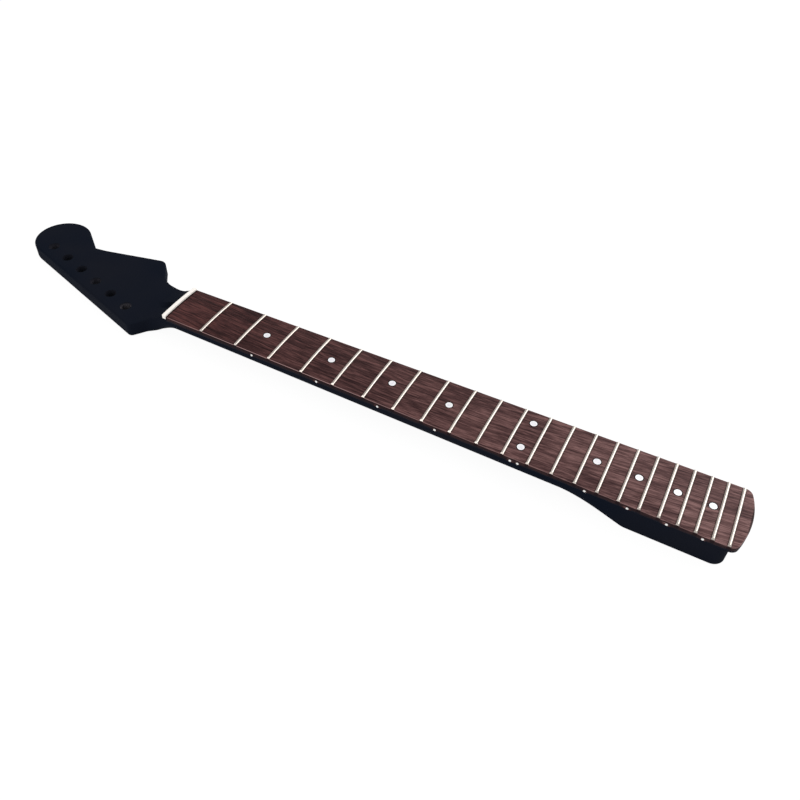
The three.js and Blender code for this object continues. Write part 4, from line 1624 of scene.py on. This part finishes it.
def dot_tree(sizes):
    tree, given = new_tree("dots", sizes)
    disc = node(tree, "GeometryNodeMeshCylinder", {"fill_type": "TRIANGLE_FAN"}, Vertices=dot_facets,
                Side_Segments=6, Fill_Segments=6, Radius=1.0, Depth=2.0)
    x, y, z = separate(tree, node(tree, "GeometryNodeInputPosition"))
    edge = (z.math("ABSOLUTE") - near_rim).math("GREATER_THAN", 0)
    spoke = (x * x + y * y).math("SQRT")
    shrink = 1 - edge * given["Chamfer"] / given["Radius"]
    shaped = combine(tree, x * given["Radius"] * shrink, y * given["Radius"] * shrink,
                     z * given["Thickness"] * 0.5)
    disc = node(tree, "GeometryNodeStoreNamedAttribute", {"data_type": "FLOAT", "domain": "POINT"},
                Geometry=disc, Name="from_middle", Value=spoke)
    disc = node(tree, "GeometryNodeSetPosition", Geometry=disc, Position=shaped)
    quarter = given["Sideways"] * (math.pi / 2)
    disc = node(tree, "GeometryNodeTransform", Geometry=disc, Rotation=combine(tree, quarter, 0, 0))
    set_on_board(tree, given, disc, 1 - given["Sideways"])
    return tree


def set_on_board(tree, given, shape, upright):
    placed = node(tree, "GeometryNodeInstanceOnPoints", Points=given["Geometry"], Instance=shape)
    placed = node(tree, "GeometryNodeRealizeInstances", Geometry=placed)
    x, y, z = separate(tree, node(tree, "GeometryNodeInputPosition"))
    lowered = combine(tree, x, y, z - crown_lowering(y, given["Board Radius"]) * upright)
    placed = node(tree, "GeometryNodeSetPosition", Geometry=placed, Position=lowered)
    close_tree(tree, placed, given["Material"])


print("a dot's disc has", dot_facets, "facets")

# %% [markdown]
# The pearl discs are a little smaller than their pockets, so that a ring of glue shows round them.
# They start at the height of the board's middle line, and the tree lowers them to the crown.

# %% Pearl dots
dot_radius = radius_of(dot_nodes[0])
dot_thickness = 1.6
dot_sink = 0.002
glue_lap = 0.2
dot_middles = [middle(name) for name in dot_nodes]
dot_up = board_top - dot_thickness / 2 - dot_sink
dot_places = [(x + nut_front, y, dot_up) for x, y, _ in dot_middles]
dot_sizes = {
    "Radius": (dot_radius - glue_lap) * millimetre,
    "Thickness": dot_thickness * millimetre,
    "Chamfer": 0.06 * millimetre,
    "Sideways": 0.0,
    "Board Radius": board_radius * millimetre,
}
dots = dot_tree(dot_sizes)
pearl_dots = run_tree("pearl_dots", dots, dot_sizes, pearl, dot_places)
shade(pearl_dots)
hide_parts(*dot_nodes)
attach(pearl_dots, body)
report(pearl_dots)

# %% [markdown]
# A ring of dark glue fills the gap round each pearl disc, nearly flush with the wood. It is a small
# rectangle swept round a circle.

# %% Glue rings
glue_width = 0.6
glue_depth = 1.0
glue_proud = 0.006
glue_facets = 64


def glue_tree(sizes):
    tree, given = new_tree("glue rings", sizes)
    path = node(tree, "GeometryNodeCurvePrimitiveCircle", Resolution=glue_facets, Radius=given["Radius"])
    section = node(tree, "GeometryNodeCurvePrimitiveQuadrilateral", Width=given["Width"],
                   Height=given["Height"])
    ring = node(tree, "GeometryNodeCurveToMesh", Curve=path, Profile_Curve=section)
    set_on_board(tree, given, ring, 1)
    return tree


glue_sizes = {
    "Radius": (dot_radius - glue_lap + glue_width / 2) * millimetre,
    "Width": glue_width * millimetre,
    "Height": glue_depth * millimetre,
    "Board Radius": board_radius * millimetre,
}
glue_places = [(x, y, z + (dot_thickness - glue_depth) / 2 + glue_proud) for x, y, z in dot_places]
glue_rings = run_tree("glue_rings", glue_tree(glue_sizes), glue_sizes, glue, glue_places)
shade(glue_rings, angle=40)
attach(glue_rings, body)
report(glue_rings)

# %% [markdown]
# Small white dots on the bass side tell the player the same frets. They are short plastic rods in blind
# holes, cut off almost flush, so the same tree makes them lying on their side.

# %% Side dots
side_length = 3
side_sink = 0.005
side_middles = [middle(name) for name in side_dot_nodes]
side_places = [(x + nut_front, side_length / 2 - (half_width(x) - side_sink), z)
               for x, _, z in side_middles]
side_sizes = {
    "Radius": radius_of(side_dot_nodes[0]) * millimetre,
    "Thickness": side_length * millimetre,
    "Chamfer": 0.04 * millimetre,
    "Sideways": 1.0,
    "Board Radius": board_radius * millimetre,
}
side_dots = run_tree("side_dots", dots, side_sizes, side_white, side_places)
shade(side_dots)
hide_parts(*side_dot_nodes)
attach(side_dots, body)
report(side_dots)

# %% [markdown]
# The truss rod's parts lie in the channel and are simple turned and milled pieces, so their solids
# from the frame stay as they are and only get their metal.

# %% Truss rod finishes
rod_finishes = {
    "truss_rod_adjuster": rod_steel,
    "truss_rod_screw": rod_steel,
    "truss_rod_bar": rod_steel,
    "truss_rod_front_block": rod_brass,
    "truss_rod_rear_block": rod_brass,
}
for name, material in rod_finishes.items():
    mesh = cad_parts[name].data
    mesh.materials.clear()
    mesh.materials.append(material)
print("truss rod pieces", len(rod_finishes))

# %% [markdown]
# The neck lies on a plain pale floor. What the camera sees directly is mostly a glow, nearly white, with
# a little of the soft shadow in it, and the metal reflects the same. What lights the neck from below is
# plain pale paper. The light path tells the two apart.

# %% Floor
floor_half = 3.0
floor_drop = 0.0002
paper_level = 0.8
shadow_level = 0.12
glow_strength = 0.93


def seen_directly(tree):
    rays = tree.nodes.new("ShaderNodeLightPath")
    kinds = ("Is Camera Ray", "Is Glossy Ray", "Is Transmission Ray")
    camera, glossy, transmitted = (Signal(tree, rays.outputs[kind]) for kind in kinds)
    return camera.math("MAXIMUM", glossy).math("MAXIMUM", transmitted)


def grey(level):
    return (level, level, level, 1)


def make_floor_white():
    material, tree = new_material("floor_white")
    paper = node(tree, "ShaderNodeBsdfDiffuse", Color=grey(paper_level))
    shadowed = node(tree, "ShaderNodeBsdfDiffuse", Color=grey(shadow_level))
    glow = node(tree, "ShaderNodeEmission", Strength=glow_strength)
    both = tree.nodes.new("ShaderNodeAddShader")
    choose = tree.nodes.new("ShaderNodeMixShader")
    output = tree.nodes.new("ShaderNodeOutputMaterial")
    plug(tree, shadowed, both.inputs[0])
    plug(tree, glow, both.inputs[1])
    plug(tree, seen_directly(tree), choose.inputs[0])
    plug(tree, paper, choose.inputs[1])
    tree.links.new(both.outputs[0], choose.inputs[2])
    tree.links.new(choose.outputs[0], output.inputs["Surface"])
    return material


def make_floor():
    mesh = bpy.data.meshes.new("floor")
    corners = [(x * floor_half, y * floor_half, -floor_drop) for x, y in ((-1, -1), (1, -1), (1, 1), (-1, 1))]
    mesh.from_pydata(corners, [], [(0, 1, 2, 3)])
    mesh.materials.append(make_floor_white())
    floor = add_to_scene("floor", mesh)
    return floor


print("made", make_floor().name)

# %% [markdown]
# A plain studio: an even, pale world for the fill, a large soft lamp like a window behind the treble
# side, and a weaker one in front. The world is white where the camera looks at it, and gentler where
# it lights the neck.

# %% World and lamps
fill_strength = 0.7


def make_world():
    world = bpy.data.worlds.new("studio")
    bpy.context.scene.world = world
    world.use_nodes = True
    tree = world.node_tree
    tree.nodes.clear()
    strength = spread(tree, seen_directly(tree), 0, 1, fill_strength, 1.0)
    background = node(tree, "ShaderNodeBackground", Color=grey(1), Strength=strength)
    output = tree.nodes.new("ShaderNodeOutputWorld")
    plug(tree, background, output.inputs["Surface"])


def make_lamp(name, place, target, size, watts):
    data = bpy.data.lights.new(name, "AREA")
    data.shape = "SQUARE"
    data.size = size
    data.energy = watts
    lamp = add_to_scene(name, data)
    lamp.location = place
    lamp.rotation_euler = (Vector(target) - Vector(place)).to_track_quat("-Z", "Y").to_euler()
    print("made lamp", lamp.name)


make_world()
make_lamp("window", place=(0.45, 0.8, 0.72), target=(-0.1, 0, 0), size=0.9, watts=10.5)
make_lamp("front", place=(-0.6, -1.2, 0.55), target=(-0.25, 0, 0), size=0.6, watts=4.4)

# %% [markdown]
# The camera stands where the photograph's did: above the bass side of the heel, looking down the
# neck towards the headstock at about 45 degrees. Its direction and its upright were worked out from
# the places of the frets and dots in the photograph.

# %% Camera
camera_place = Vector((-24.3, -402.6, 458.3)) * millimetre
camera_forward = Vector((-0.305, 0.6364, -0.7085)).normalized()
camera_up = Vector((-0.3447, 0.6197, 0.7051)).normalized()
focal_length = 36.30
sensor_width = 36


def make_camera():
    data = bpy.data.cameras.new("camera")
    data.sensor_width = sensor_width
    data.lens = focal_length
    camera = add_to_scene("camera", data)
    right = camera_forward.cross(camera_up).normalized()
    up = right.cross(camera_forward)
    turn = Matrix((right, up, -camera_forward)).transposed()
    camera.matrix_world = Matrix.Translation(camera_place) @ turn.to_4x4()
    bpy.context.scene.camera = camera


make_camera()
bpy.context.scene.view_settings.view_transform = "Standard"
print("camera at", [round(value, 3) for value in camera_place])
